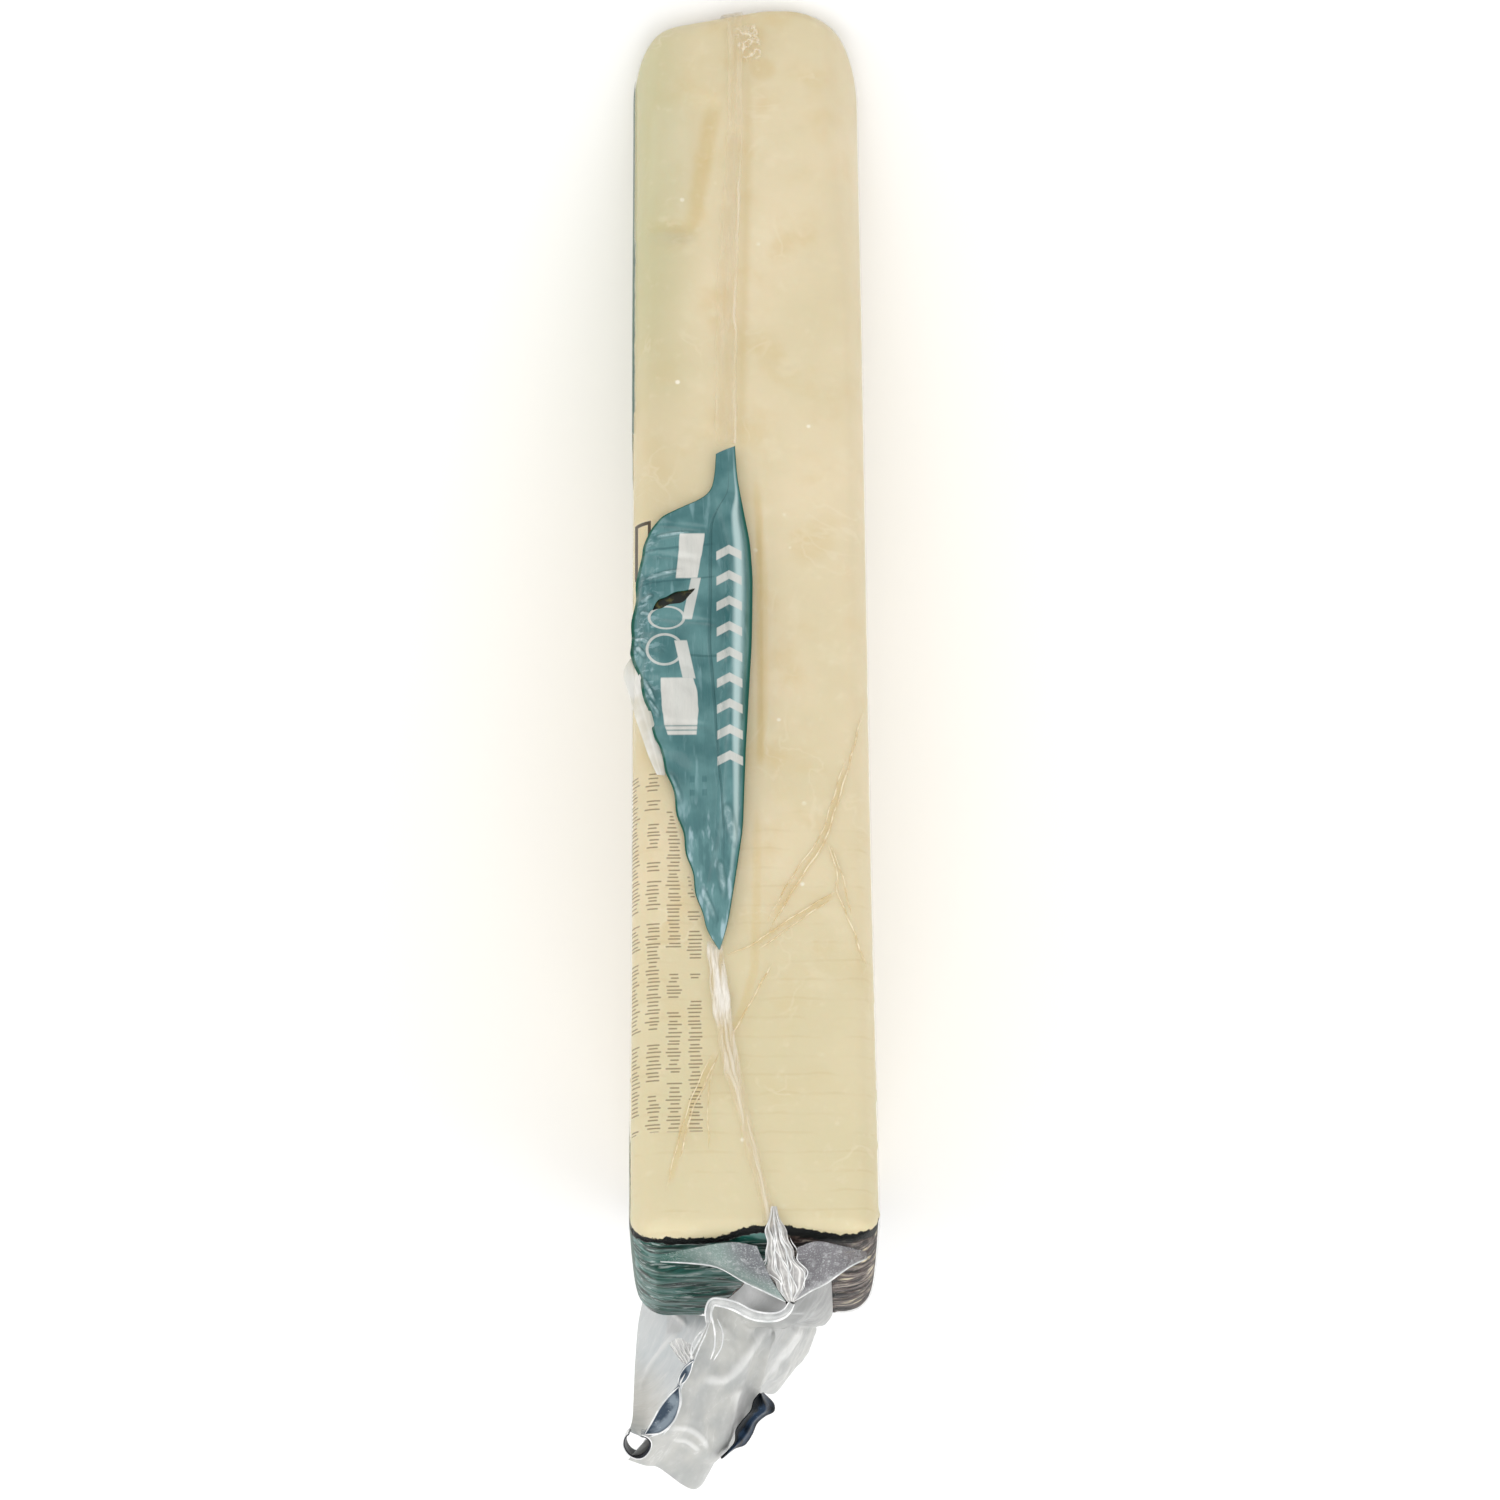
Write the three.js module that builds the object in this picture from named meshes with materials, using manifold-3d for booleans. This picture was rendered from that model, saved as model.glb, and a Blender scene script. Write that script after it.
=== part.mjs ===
// A vacuum-packed wedge of pecorino romano, lying on one cut face with the other cut face up.
// It is a sector of a thin disc of cheese, its black rind on the curved end, shrunk into a clear bag
// of two films. Their welded rim runs round the middle of the pack: a narrow folded strip on the cut
// faces, a wide printed tab to peel, and a crumpled tail that stands out from the rind.
// Millimetres. X runs through the thickness, +Y points at the thin end, -Y at the rind, Z is up.
// The origin is below the middle of the whole pack, on the surface that it lies on.
import * as THREE from "three";
import Module from "manifold-3d";
import { mergeVertices } from "three/addons/utils/BufferGeometryUtils.js";

const wasm = await Module();
wasm.setup();

const { lerp, smoothstep, clamp, degToRad } = THREE.MathUtils;

// ---- Driving dimensions ----
const rindRadius = 145; // of the wheel that the wedge was cut from
const wedgeAngle = degToRad(40);
const thickness = 24.4;
const edgeRadius = 3; // of the long edges, as the film rounds them
const tipRadius = 3; // of the thin end, seen from the side
const rindCornerRadius = 1.6; // where a cut face meets the rind
const leftTipRadius = 5; // of the thin end's two corners, seen from above
const rightTipRadius = 8;
const tipSlant = 0.17; // left of the middle the thin end falls back by this much a millimetre
const tipReach = 1; // the film stands out before the thin end
const tipBlend = 30; // how far along the wedge the shaping of the thin end reaches
const sideBulge = 0.4; // of the broad sides
const clearance = 0.35; // between pieces that touch
const filmHalf = 0.3; // half the thickness that stands for a double film
const grooveDepth = 0.95; // the welded rim is pressed into the cut face below, so that the pack lies flat
const grooveLeft = -3.8;
const grooveRight = 0.4;
const grooveSlope = 0.8; // of the groove's walls, across

const halfAngle = wedgeAngle / 2;
const cosWedge = Math.cos(wedgeAngle);
const sinWedge = Math.sin(wedgeAngle);
const flatHalf = thickness / 2 - edgeRadius; // half the width between the rounded edges

// ---- Materials ----
const surface = (color, roughness, opacity = 1) =>
  new THREE.MeshStandardMaterial({ color, roughness, metalness: 0, opacity, transparent: opacity < 1 });
const cheeseLook = surface(0xe4d3ad, 0.45);
const clearFilm = surface(0xe9e7e2, 0.2, 0.5);
const printedFilm = surface(0x5f8c8c, 0.25);

// ---- The wedge's outline, seen from the side ----
// p runs from the wheel's middle towards the rind along the face below, q is up. The outline starts
// on the shown face beside the thin end and goes round by the rind and the face below.
const tipTangent = tipRadius / Math.tan(halfAngle);
const cornerReach = Math.sqrt((rindRadius - rindCornerRadius) ** 2 - rindCornerRadius ** 2);
const cornerAngle = Math.atan2(rindCornerRadius, cornerReach);
const faceLength = cornerReach - tipTangent;
const quarterTurn = Math.PI / 2;

function arcPiece(centre, radius, from, to) {
  return (share) => {
    const angle = lerp(from, to, share);
    const normal = new THREE.Vector2(Math.cos(angle), Math.sin(angle));
    return { point: centre.clone().addScaledVector(normal, radius), normal };
  };
}

const straightPiece = (from, to, normal) => (share) => ({
  point: from.clone().lerp(to, share),
  normal: normal.clone(),
});

const alongShown = (reach) => new THREE.Vector2(reach * cosWedge, reach * sinWedge);
const shownNormal = new THREE.Vector2(-sinWedge, cosWedge);
const pieces = {
  shown: straightPiece(alongShown(tipTangent), alongShown(cornerReach), shownNormal),
  shownCorner: arcPiece(
    alongShown(cornerReach).addScaledVector(shownNormal, -rindCornerRadius),
    rindCornerRadius,
    wedgeAngle + quarterTurn,
    wedgeAngle - cornerAngle,
  ),
  rind: arcPiece(new THREE.Vector2(0, 0), rindRadius, wedgeAngle - cornerAngle, cornerAngle),
  lowCorner: arcPiece(
    new THREE.Vector2(cornerReach, rindCornerRadius),
    rindCornerRadius,
    cornerAngle,
    -quarterTurn,
  ),
  below: straightPiece(
    new THREE.Vector2(cornerReach, 0),
    new THREE.Vector2(tipTangent, 0),
    new THREE.Vector2(0, -1),
  ),
  tip: arcPiece(
    new THREE.Vector2(tipTangent, tipRadius),
    tipRadius,
    -quarterTurn,
    wedgeAngle + quarterTurn - 2 * Math.PI,
  ),
};

// ---- Relief: how far the surface stands out from the plain wedge ----
function furrow(u, x, from, to, width, depth) {
  const run = new THREE.Vector2().subVectors(to, from);
  const place = new THREE.Vector2(u, x).sub(from);
  const share = clamp(place.dot(run) / run.lengthSq(), 0, 1);
  const away = place.addScaledVector(run, -share).length();
  return depth * (1 - smoothstep(away, 0, width));
}

// A flake has lifted beside the thin end, and there is a dent beside the tab.
const flakeTop = new THREE.Vector2(17.5, -4);
const flakeCorner = new THREE.Vector2(32, -6.4);
const flakeSide = new THREE.Vector2(31, -11.2);
const dentTop = new THREE.Vector2(85.5, 4.2);
const dentEnd = new THREE.Vector2(89, 5.6);

function shownRelief(u, x) {
  const waves = 0.14 * Math.sin(u / 8.5 + x / 6) * Math.cos(x / 5 - u / 21) - 0.1 * Math.cos(u / 17);
  const flake =
    furrow(u, x, flakeTop, flakeCorner, 2.6, 0.6) + furrow(u, x, flakeCorner, flakeSide, 2.2, 0.35);
  return waves - flake - furrow(u, x, dentTop, dentEnd, 2.4, 0.35);
}

function rindRelief(angle, x) {
  const along = angle * rindRadius;
  return 0.2 * Math.sin(along / 1.9 + 1.3 * Math.sin(x / 4)) * Math.cos(x / 9) + 0.12 * Math.sin(x / 2.3 + along / 7);
}

function grooveRelief(x) {
  const leftWall = smoothstep(x, grooveLeft - grooveSlope, grooveLeft);
  const rightWall = smoothstep(x, grooveRight, grooveRight + grooveSlope);
  return -grooveDepth * leftWall * (1 - rightWall);
}

function reliefAt(name, share, x) {
  const onFlat = 1 - smoothstep(Math.abs(x), flatHalf, thickness / 2);
  if (name === "shown") {
    const ends = smoothstep(share, 0, 0.06) * (1 - smoothstep(share, 0.98, 1));
    return shownRelief(tipTangent + share * faceLength, x) * ends * onFlat;
  }
  if (name === "shownCorner") return 0.2 * Math.sin(x / 1.7 + Math.sin(x / 3)) * Math.sin(share * Math.PI) * onFlat;
  if (name === "rind") {
    const ends = smoothstep(share, 0, 0.05) * (1 - smoothstep(share, 0.9, 1));
    return rindRelief(lerp(wedgeAngle, 0, share), x) * ends * onFlat;
  }
  if (name === "below") return grooveRelief(x) * smoothstep(share, 0, 0.03);
  if (name === "tip") return grooveRelief(x) * (1 - smoothstep(share, 0.1, 0.6));
  return 0;
}

// Seen from above the thin end is rounded and askew: how far back from the plain end it lies at x.
function tipShift(x) {
  const radius = x < 0 ? leftTipRadius : rightTipRadius;
  const past = Math.max(0, Math.abs(x) - (thickness / 2 - radius));
  const round = radius - Math.sqrt(Math.max(0, radius ** 2 - past ** 2));
  return round + tipSlant * Math.max(0, 2 - x) - tipReach;
}

const spot = (x, p, q) => new THREE.Vector3(x, -p, q);

// A point on the pack's surface, or raised off it: share of the way along a named piece of the outline.
function onPack(name, share, x, raised = 0) {
  const { point, normal } = pieces[name](share);
  point.addScaledVector(normal, raised + reliefAt(name, share, x));
  const nearTip = 1 - smoothstep(point.x, tipTangent, tipTangent + tipBlend);
  return spot(x, point.x + tipShift(x) * nearTip, point.y);
}

// A point u from the wheel's middle along the shown face, and that far off it.
const onShown = (u, x, height) =>
  spot(x, u * cosWedge - height * sinWedge, u * sinWedge + height * cosWedge);

// A point beyond the rind, by its angle from the face below and its reach from the rind.
const pastRind = (degrees, x, reach) =>
  spot(x, (rindRadius + reach) * Math.cos(degToRad(degrees)), (rindRadius + reach) * Math.sin(degToRad(degrees)));
const pastRindAll = (places) => places.map((place) => pastRind(...place));

// The shown face's own height at a place, with the fall of its rounded long edges.
function shownHeight(u, x) {
  const past = clamp(Math.abs(x) - flatHalf, 0, edgeRadius);
  const fall = edgeRadius - Math.sqrt(edgeRadius ** 2 - past ** 2);
  return reliefAt("shown", (u - tipTangent) / faceLength, x) - fall;
}

// ---- Closed meshes ----
function closedGeometry(points, triangles) {
  const corner = (i) => points[triangles[i]];
  let volume = 0;
  for (let i = 0; i < triangles.length; i += 3)
    volume += corner(i).dot(new THREE.Vector3().crossVectors(corner(i + 1), corner(i + 2)));
  const facingOut = volume < 0 ? triangles.reverse() : triangles;
  const geometry = new THREE.BufferGeometry().setFromPoints(points).setIndex(facingOut);
  geometry.computeVertexNormals();
  return geometry;
}

// A solid between two surfaces, each a function of s along and w across, from 0 to 1.
function slab(columns, rows, over, under) {
  const points = [over, under].flatMap((side) => columns.flatMap((s) => rows.map((w) => side(s, w))));
  const sheet = columns.length * rows.length;
  const at = (i, j) => i * rows.length + j;
  const triangles = [];
  for (let i = 0; i + 1 < columns.length; i++)
    for (let j = 0; j + 1 < rows.length; j++) {
      const [a, b, c, d] = [at(i, j), at(i + 1, j), at(i + 1, j + 1), at(i, j + 1)];
      triangles.push(a, b, c, a, c, d, sheet + a, sheet + c, sheet + b, sheet + a, sheet + d, sheet + c);
    }
  const rim = [];
  for (let i = 0; i < columns.length; i++) rim.push(at(i, 0));
  for (let j = 1; j < rows.length; j++) rim.push(at(columns.length - 1, j));
  for (let i = columns.length - 2; i >= 0; i--) rim.push(at(i, rows.length - 1));
  for (let j = rows.length - 2; j > 0; j--) rim.push(at(0, j));
  rim.forEach((a, k) => {
    const b = rim[(k + 1) % rim.length];
    triangles.push(b, a, sheet + a, b, sheet + a, sheet + b);
  });
  return closedGeometry(points, triangles);
}

const even = (count) => Array.from({ length: count + 1 }, (_, i) => i / count);

// A thin sheet about a middle surface.
function filmSheet(columns, rows, middle) {
  const step = 0.01;
  const side = (sign) => (s, w) => {
    const along = middle(Math.min(s + step, 1), w).sub(middle(Math.max(s - step, 0), w));
    const across = middle(s, Math.min(w + step, 1)).sub(middle(s, Math.max(w - step, 0)));
    return middle(s, w).addScaledVector(along.cross(across).normalize(), sign * filmHalf);
  };
  return slab(columns, rows, side(1), side(-1));
}

const curveOf = (points) => new THREE.CatmullRomCurve3(points, false, "centripetal");

// A surface spanned by four edges: root and free run along s, start and end run across it.
function spanned({ root, free, start, end }) {
  const [rootCurve, freeCurve, startCurve, endCurve] = [root, free, start, end].map((edge) =>
    curveOf(pastRindAll(edge)),
  );
  const corner = (curve, s) => curve.getPoint(s);
  return (s, w) => {
    const along = corner(rootCurve, s).lerp(corner(freeCurve, s), w);
    const across = corner(startCurve, w).lerp(corner(endCurve, w), s);
    const atStart = corner(rootCurve, 0).lerp(corner(freeCurve, 0), w);
    const atEnd = corner(rootCurve, 1).lerp(corner(freeCurve, 1), w);
    return along.add(across).sub(atStart.lerp(atEnd, s));
  };
}

// A value that runs straight from one [place, value] pair to the next.
function through(pairs) {
  return (place) => {
    const found = pairs.findIndex(([at]) => at >= place);
    const i = found < 0 ? pairs.length - 1 : Math.max(found, 1);
    const [[from, start], [to, end]] = [pairs[i - 1], pairs[i]];
    return lerp(start, end, clamp((place - from) / (to - from), 0, 1));
  };
}

// ---- The wrapped cheese ----
function wrappedCheese() {
  const stretches = { shown: 44, shownCorner: 3, rind: 32, lowCorner: 3, below: 14, tip: 6 };
  const stops = Object.entries(stretches).flatMap(([name, count]) =>
    even(count)
      .slice(0, -1)
      .map((share) => [name, share]),
  );
  const groove = [grooveLeft - grooveSlope, grooveLeft, -2.4, -1, grooveRight, grooveRight + grooveSlope];
  const flat = [-flatHalf, -7.6, -6, ...groove, 2.8, 4.4, 6, 7.6, flatHalf];
  const turns = [15, 35, 60, 90].map(degToRad);
  const rounded = (side) =>
    turns.map((turn) => ({
      x: side * (flatHalf + edgeRadius * Math.sin(turn)),
      inset: edgeRadius * (1 - Math.cos(turn)),
      scale: 1,
    }));
  const cap = (side) =>
    [0.93, 0.8, 0.6, 0.4, 0.2].map((scale) => ({ x: (side * thickness) / 2, inset: edgeRadius, scale }));
  const rings = [
    ...cap(-1).reverse(),
    ...rounded(-1).reverse(),
    ...flat.map((x) => ({ x, inset: 0, scale: 1 })),
    ...rounded(1),
    ...cap(1),
  ];
  const centroid = (2 / 3) * rindRadius * (Math.sin(halfAngle) / halfAngle);
  const middle = (x) => spot(x, centroid * Math.cos(halfAngle), centroid * Math.sin(halfAngle));
  const points = rings.flatMap(({ x, inset, scale }) =>
    stops.map(([name, share]) => {
      const point = onPack(name, share, x, -inset).sub(middle(x)).multiplyScalar(scale).add(middle(x));
      point.x += Math.sign(x) * sideBulge * (1 - scale ** 2);
      return point;
    }),
  );
  const count = stops.length;
  const triangles = [];
  for (let i = 0; i + 1 < rings.length; i++)
    for (let j = 0; j < count; j++) {
      const next = (j + 1) % count;
      const [a, b, c, d] = [i * count + j, (i + 1) * count + j, (i + 1) * count + next, i * count + next];
      triangles.push(a, b, c, a, c, d);
    }
  const close = (ring, side) => {
    const pole = points.push(middle(side * (thickness / 2 + sideBulge))) - 1;
    for (let j = 0; j < count; j++) {
      const [a, b] = [ring * count + j, ring * count + ((j + 1) % count)];
      triangles.push(...(side > 0 ? [b, a, pole] : [a, b, pole]));
    }
  };
  close(0, -1);
  close(rings.length - 1, 1);
  return closedGeometry(points, triangles);
}

// ---- The folded strip of the welded rim ----
// Its left and right edges on the shown face, by the distance u from the wheel's middle.
const stripLeft = through([[14, -1.7], [41, -3.4], [57.6, -3.5], [115, -4.7], [125.6, -3.5], [136, -0.9], [144, 0.9]]);
const stripRight = through([[14, -0.2], [41, -1.2], [57.6, -1.3], [115, -3], [125.6, -1.7], [136, 0.3], [144, 2.4]]);
const shownShare = (u) => (u - tipTangent) / faceLength;

function faceStrip(from, to, count) {
  const layer = (raised) => (s, w) => {
    const u = lerp(from, to, s);
    return onPack("shown", shownShare(u), lerp(stripLeft(u), stripRight(u), w), clearance + raised * (0.5 + 0.5 * w));
  };
  return slab(even(count), even(3), layer(0.8), layer(0));
}

// From the shown face it goes over the thin end and lies in the groove of the face below.
function endStrip() {
  const stops = [
    ...[20, 17, 14, 11].map((u) => ["shown", shownShare(u)]),
    ...even(8).reverse().map((share) => ["tip", share]),
    ...even(20).reverse().slice(1, -1).map((share) => ["below", share]),
  ];
  const inGroove = (s) => smoothstep(s, 0.2, 0.42);
  const left = (s) => lerp(-1.9, grooveLeft + clearance, inGroove(s));
  const right = (s) => lerp(-0.4, grooveRight - clearance, inGroove(s));
  const layer = (raised) => (s, w) => {
    const [name, share] = stops[Math.round(s * (stops.length - 1))];
    return onPack(name, share, lerp(left(s), right(s), w), clearance + raised);
  };
  return slab(even(stops.length - 1), even(2), layer(0.4), layer(0));
}

// ---- The printed tab, folded over on the shown face ----
const tabStart = 58.7;
const tabEnd = 114.4;
const tabLeft = through([
  [58.7, -3.4], [63, -3.5], [65.4, -4.6], [66.3, -8], [67.2, -9.6], [71.7, -11.2], [76.4, -12], [82.7, -12.8],
  [86.6, -11.5], [92.2, -10.2], [96.7, -8.4], [102.2, -7.2], [107.7, -6.2], [110.9, -5.2], [114.7, -3.7],
]);
const tabRight = through([
  [58.7, -1.3], [65, -1.1], [72, -0.4], [79, 0], [88, 0], [96.7, -0.6], [104.4, -1.3], [114.7, -2.9],
]);
const rollWidth = 2.8; // the film doubles back along the tab's right edge, in a rounded roll
const rollHeight = 2;

function peelTab() {
  const columns = [
    0, 0.04, 0.08, 0.105, 0.122, 0.137, 0.152, 0.18, 0.22, 0.27, 0.32, 0.37, 0.42, 0.46, 0.5, 0.55, 0.6, 0.65,
    0.7, 0.75, 0.8, 0.86, 0.92, 0.96, 1,
  ];
  const place = (s, w) => {
    const u = lerp(tabStart, tabEnd, s);
    return [u, lerp(tabLeft(u), tabRight(u), w)];
  };
  const under = (s, w) => {
    const [u, x] = place(s, w);
    return onShown(u, x, Math.max(shownHeight(u, x), -1.2) + clearance);
  };
  const over = (s, w) => {
    const [u, x] = place(s, w);
    const swell = Math.sin(Math.PI * clamp(s * 1.05, 0.06, 0.96));
    const intoRoll = clamp((x - tabRight(u) + rollWidth) / rollWidth, 0, 0.86);
    const roll = rollHeight * swell * Math.sin(Math.PI * intoRoll);
    const rumple = 0.25 * Math.sin(u / 1.9 + x / 2.4) * smoothstep(tabRight(u) - x, 3, 6) * swell;
    return onShown(u, x, Math.max(shownHeight(u, x), -1.2) + clearance + 0.75 + roll + rumple);
  };
  return slab(columns, even(9), over, under);
}

// The torn slit through the tab.
const slitPlace = { u: 75.9, x: -7.1 };
const slitLength = 3.6;
const slitWidth = 1.4;
const slitTurn = degToRad(-32);

function slitCutter() {
  const outline = new THREE.Shape();
  outline.moveTo(-slitLength / 2, 0);
  outline.quadraticCurveTo(0, slitWidth, slitLength / 2, 0);
  outline.quadraticCurveTo(0, -slitWidth, -slitLength / 2, 0);
  const geometry = new THREE.ExtrudeGeometry(outline, { depth: 12, bevelEnabled: false, curveSegments: 6 });
  geometry.translate(0, 0, -6).rotateZ(slitTurn);
  const upFace = new THREE.Vector3(0, cosWedge, -sinWedge);
  const outward = new THREE.Vector3(0, sinWedge, cosWedge);
  const frame = new THREE.Matrix4().makeBasis(new THREE.Vector3(1, 0, 0), upFace, outward);
  return geometry.applyMatrix4(frame.setPosition(onShown(slitPlace.u, slitPlace.x, 0)));
}

function toManifold(geometry) {
  const bare = new THREE.BufferGeometry().setAttribute("position", geometry.getAttribute("position"));
  const merged = mergeVertices(geometry.index ? bare.setIndex(geometry.index) : bare, 1e-3);
  return new wasm.Manifold(
    new wasm.Mesh({
      numProp: 3,
      vertProperties: new Float32Array(merged.attributes.position.array),
      triVerts: new Uint32Array(merged.index.array),
    }),
  );
}

function cut(body, tool) {
  const result = toManifold(body).subtract(toManifold(tool)).getMesh();
  const geometry = new THREE.BufferGeometry();
  geometry.setAttribute("position", new THREE.BufferAttribute(result.vertProperties, 3));
  geometry.setIndex(new THREE.BufferAttribute(result.triVerts, 1));
  geometry.computeVertexNormals();
  return geometry;
}

// ---- The gathered neck, where the rim leaves the shown face and stands out beyond the rind ----
const neckStart = 144.3;
const neckEnd = 151.2;
const neckLeft = through([[144.3, 0.9], [145.7, 0.9], [148, 1.2], [151.2, 2.6]]);
const neckRight = through([[144.3, 2.4], [145.7, 2.8], [148, 4.2], [150.3, 4.7], [151.2, 4.6]]);

function gatheredNeck() {
  const pleats = 3;
  const layer = (top) => (s, w) => {
    const u = lerp(neckStart, neckEnd, s);
    const drop = -1.6 * smoothstep(s, 0.35, 1);
    const arch = 1.1 * Math.sin(Math.PI * clamp(w, 0.08, 0.92)) + 0.3 * Math.sin(pleats * 2 * Math.PI * w);
    return onShown(u, lerp(neckLeft(u), neckRight(u), w), 0.5 + drop + (top ? 0.5 + arch : 0));
  };
  return slab(even(8), even(12), layer(true), layer(false));
}

// ---- The corner webs, strained between the top of the rind and the neck ----
// Places are given as degrees round the rind, x, and reach from the rind.
function cornerWeb(topEdge, rim) {
  const [topCurve, rimCurve] = [topEdge, rim].map((edge) => curveOf(pastRindAll(edge)));
  return filmSheet(even(12), even(4), (s, w) => topCurve.getPoint(s).lerp(rimCurve.getPoint(s), w));
}

const leftWeb = {
  topEdge: [[38.9, -9.2, 1], [39.5, -6.2, 0.9], [40.1, -2.2, 0.8], [40.1, 0.2, 1.2]],
  rim: [[38.2, -9.3, 1.1], [38.1, -6.4, 1.2], [38, -3.6, 1.6], [37.9, -0.9, 3.1], [38.1, 1.2, 4.3]],
};
const rightWeb = {
  topEdge: [[39.1, 11, 1], [39.7, 8.4, 0.9], [40.1, 6, 0.8], [40.1, 4.2, 1.4]],
  rim: [[38.4, 11.1, 1.1], [38.1, 9.5, 1.6], [38, 7, 3.3], [38.1, 5.4, 4.2]],
};

// ---- The tail: the back film from the right of the rind, the front film from its left ----
// They meet along the rim, which hangs from the neck and swings out to the left.
const backTail = {
  root: [[36.7, 7.6, 1.1], [31.4, 8, 1.1], [20, 8.4, 1.1], [12, 8, 1.1], [5, 7, 1.1]],
  free: [
    [37.2, -12.5, 19.9], [35.5, -9.6, 20.2], [33.6, -6.2, 21], [31.4, -3.7, 17], [29, -1.4, 14.2], [25, 0.6, 11.2],
    [20, 3.4, 7.2], [16, 5, 5.6], [12, 5.4, 4], [8, 6, 2.9], [5, 6.5, 2.4],
  ],
  start: [
    [36.7, 7.6, 1.1], [36.8, 6.1, 3.4], [37.3, 4.3, 5.3], [37.6, 2.4, 6.8], [37.8, 0, 6.8], [37.8, -3.4, 5.1],
    [37.8, -4.4, 7.2], [37.8, -6.4, 12.2], [37.6, -9.6, 17.6], [37.2, -12.5, 19.9],
  ],
  end: [[5, 7, 1.1], [5, 6.9, 1.7], [5, 6.5, 2.4]],
};
const frontTail = {
  root: [[36, 1.4, 1.1], [31.6, -2.4, 1.1], [20, -9, 1.1], [10, -12.1, 1.3]],
  free: [[36.4, 2.2, 4.6], [36.8, -1.4, 4.9], [36.9, -4.4, 4.9], [36.9, -6.4, 9.8], [36.9, -7.8, 13.6]],
  start: [[36, 1.4, 1.1], [36.2, 2, 2.8], [36.4, 2.2, 4.6]],
  end: [[10, -12.1, 1.3], [14, -12.7, 6.3], [19, -12.6, 10.6], [28, -10.6, 11.6], [36.9, -7.8, 13.6]],
};

function backTailFilm() {
  const plain = spanned(backTail);
  return filmSheet(even(30), even(14), (s, w) => {
    const ripple = 0.5 * Math.sin(s * 24 + w * 3) * w * w * smoothstep(s, 0.05, 0.3);
    return plain(s, w).add(new THREE.Vector3(ripple, 0, ripple));
  });
}

function frontTailFilm() {
  const plain = spanned(frontTail);
  return filmSheet(even(18), even(10), (s, w) => {
    const ripple = 0.3 * Math.sin(s * 15 + w * 5) * Math.sin(Math.PI * w);
    return plain(s, w).add(new THREE.Vector3(0, -ripple, ripple));
  });
}

// ---- The pack ----
const pack = new THREE.Group();
const wholePack = new THREE.Group();
pack.add(wholePack);
function add(name, geometry, material) {
  const mesh = new THREE.Mesh(geometry, material);
  mesh.name = name;
  wholePack.add(mesh);
}

add("wrapped_cheese", wrappedCheese(), cheeseLook);
add("rim_strip_upper", faceStrip(21, 58, 12), clearFilm);
add("rim_strip_end", endStrip(), clearFilm);
add("rim_strip_lower", faceStrip(115.1, 143.7, 12), clearFilm);
add("peel_tab", cut(peelTab(), slitCutter()), printedFilm);
add("film_neck", gatheredNeck(), clearFilm);
add("corner_web_left", cornerWeb(leftWeb.topEdge, leftWeb.rim), clearFilm);
add("corner_web_right", cornerWeb(rightWeb.topEdge, rightWeb.rim), clearFilm);
add("tail_back_film", backTailFilm(), clearFilm);
add("tail_front_film", frontTailFilm(), clearFilm);

const box = new THREE.Box3().setFromObject(wholePack);
const middle = box.getCenter(new THREE.Vector3());
wholePack.position.set(-middle.x, -middle.y, -box.min.z);

export default pack;
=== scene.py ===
import math

import bpy
import numpy as np
from mathutils import Matrix, Quaternion, Vector, noise

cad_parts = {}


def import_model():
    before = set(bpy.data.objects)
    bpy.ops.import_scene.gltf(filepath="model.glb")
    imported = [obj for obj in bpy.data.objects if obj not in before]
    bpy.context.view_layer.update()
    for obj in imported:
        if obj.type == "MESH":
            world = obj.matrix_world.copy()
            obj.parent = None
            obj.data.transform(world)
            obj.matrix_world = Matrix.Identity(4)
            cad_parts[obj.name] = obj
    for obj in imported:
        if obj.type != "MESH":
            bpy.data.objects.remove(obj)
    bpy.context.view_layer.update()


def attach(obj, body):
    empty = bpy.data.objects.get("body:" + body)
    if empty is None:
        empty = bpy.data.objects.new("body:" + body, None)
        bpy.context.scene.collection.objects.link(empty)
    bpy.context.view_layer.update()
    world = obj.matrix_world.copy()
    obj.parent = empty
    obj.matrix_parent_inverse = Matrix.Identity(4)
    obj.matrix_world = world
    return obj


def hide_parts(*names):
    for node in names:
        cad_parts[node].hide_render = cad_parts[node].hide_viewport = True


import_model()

# Lengths are in millimetres until a mesh is written. x runs across the pack, p from the wheel's middle
# along the cut face below, q up; u and h are the same two turned onto the cut face that is shown.
mm = 0.001
originX = 0.22347
originP = 75.64900
straightUp = (0, 0, 1)
viewTilt = (0.2588, 0.9659)  # y and z of the way to the camera, 15 degrees off straight up

wedge = {
    "rindRadius": 145.0,
    "angle": math.radians(40),
    "thickness": 24.4,
    "edgeRadius": 3.0,
    "tipRadius": 3.0,
    "rindCorner": 1.6,
    "leftTipRadius": 5.0,
    "rightTipRadius": 8.0,
    "tipSlant": 0.17,
    "tipReach": 1.0,
    "tipBlend": 30.0,
    "grooveDepth": 0.95,
    "grooveLeft": -3.8,
    "grooveRight": 0.4,
    "grooveSlope": 0.8,
}
wheelRadius = wedge["rindRadius"]
cosWedge = math.cos(wedge["angle"])
sinWedge = math.sin(wedge["angle"])
halfThick = wedge["thickness"] / 2
flatHalf = halfThick - wedge["edgeRadius"]
tipTangent = wedge["tipRadius"] / math.tan(wedge["angle"] / 2)
cornerReach = math.sqrt((wheelRadius - wedge["rindCorner"]) ** 2 - wedge["rindCorner"] ** 2)
cornerAngle = math.atan2(wedge["rindCorner"], cornerReach)
faceLength = cornerReach - tipTangent
rindLength = 101  # along the arc of the rind
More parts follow.
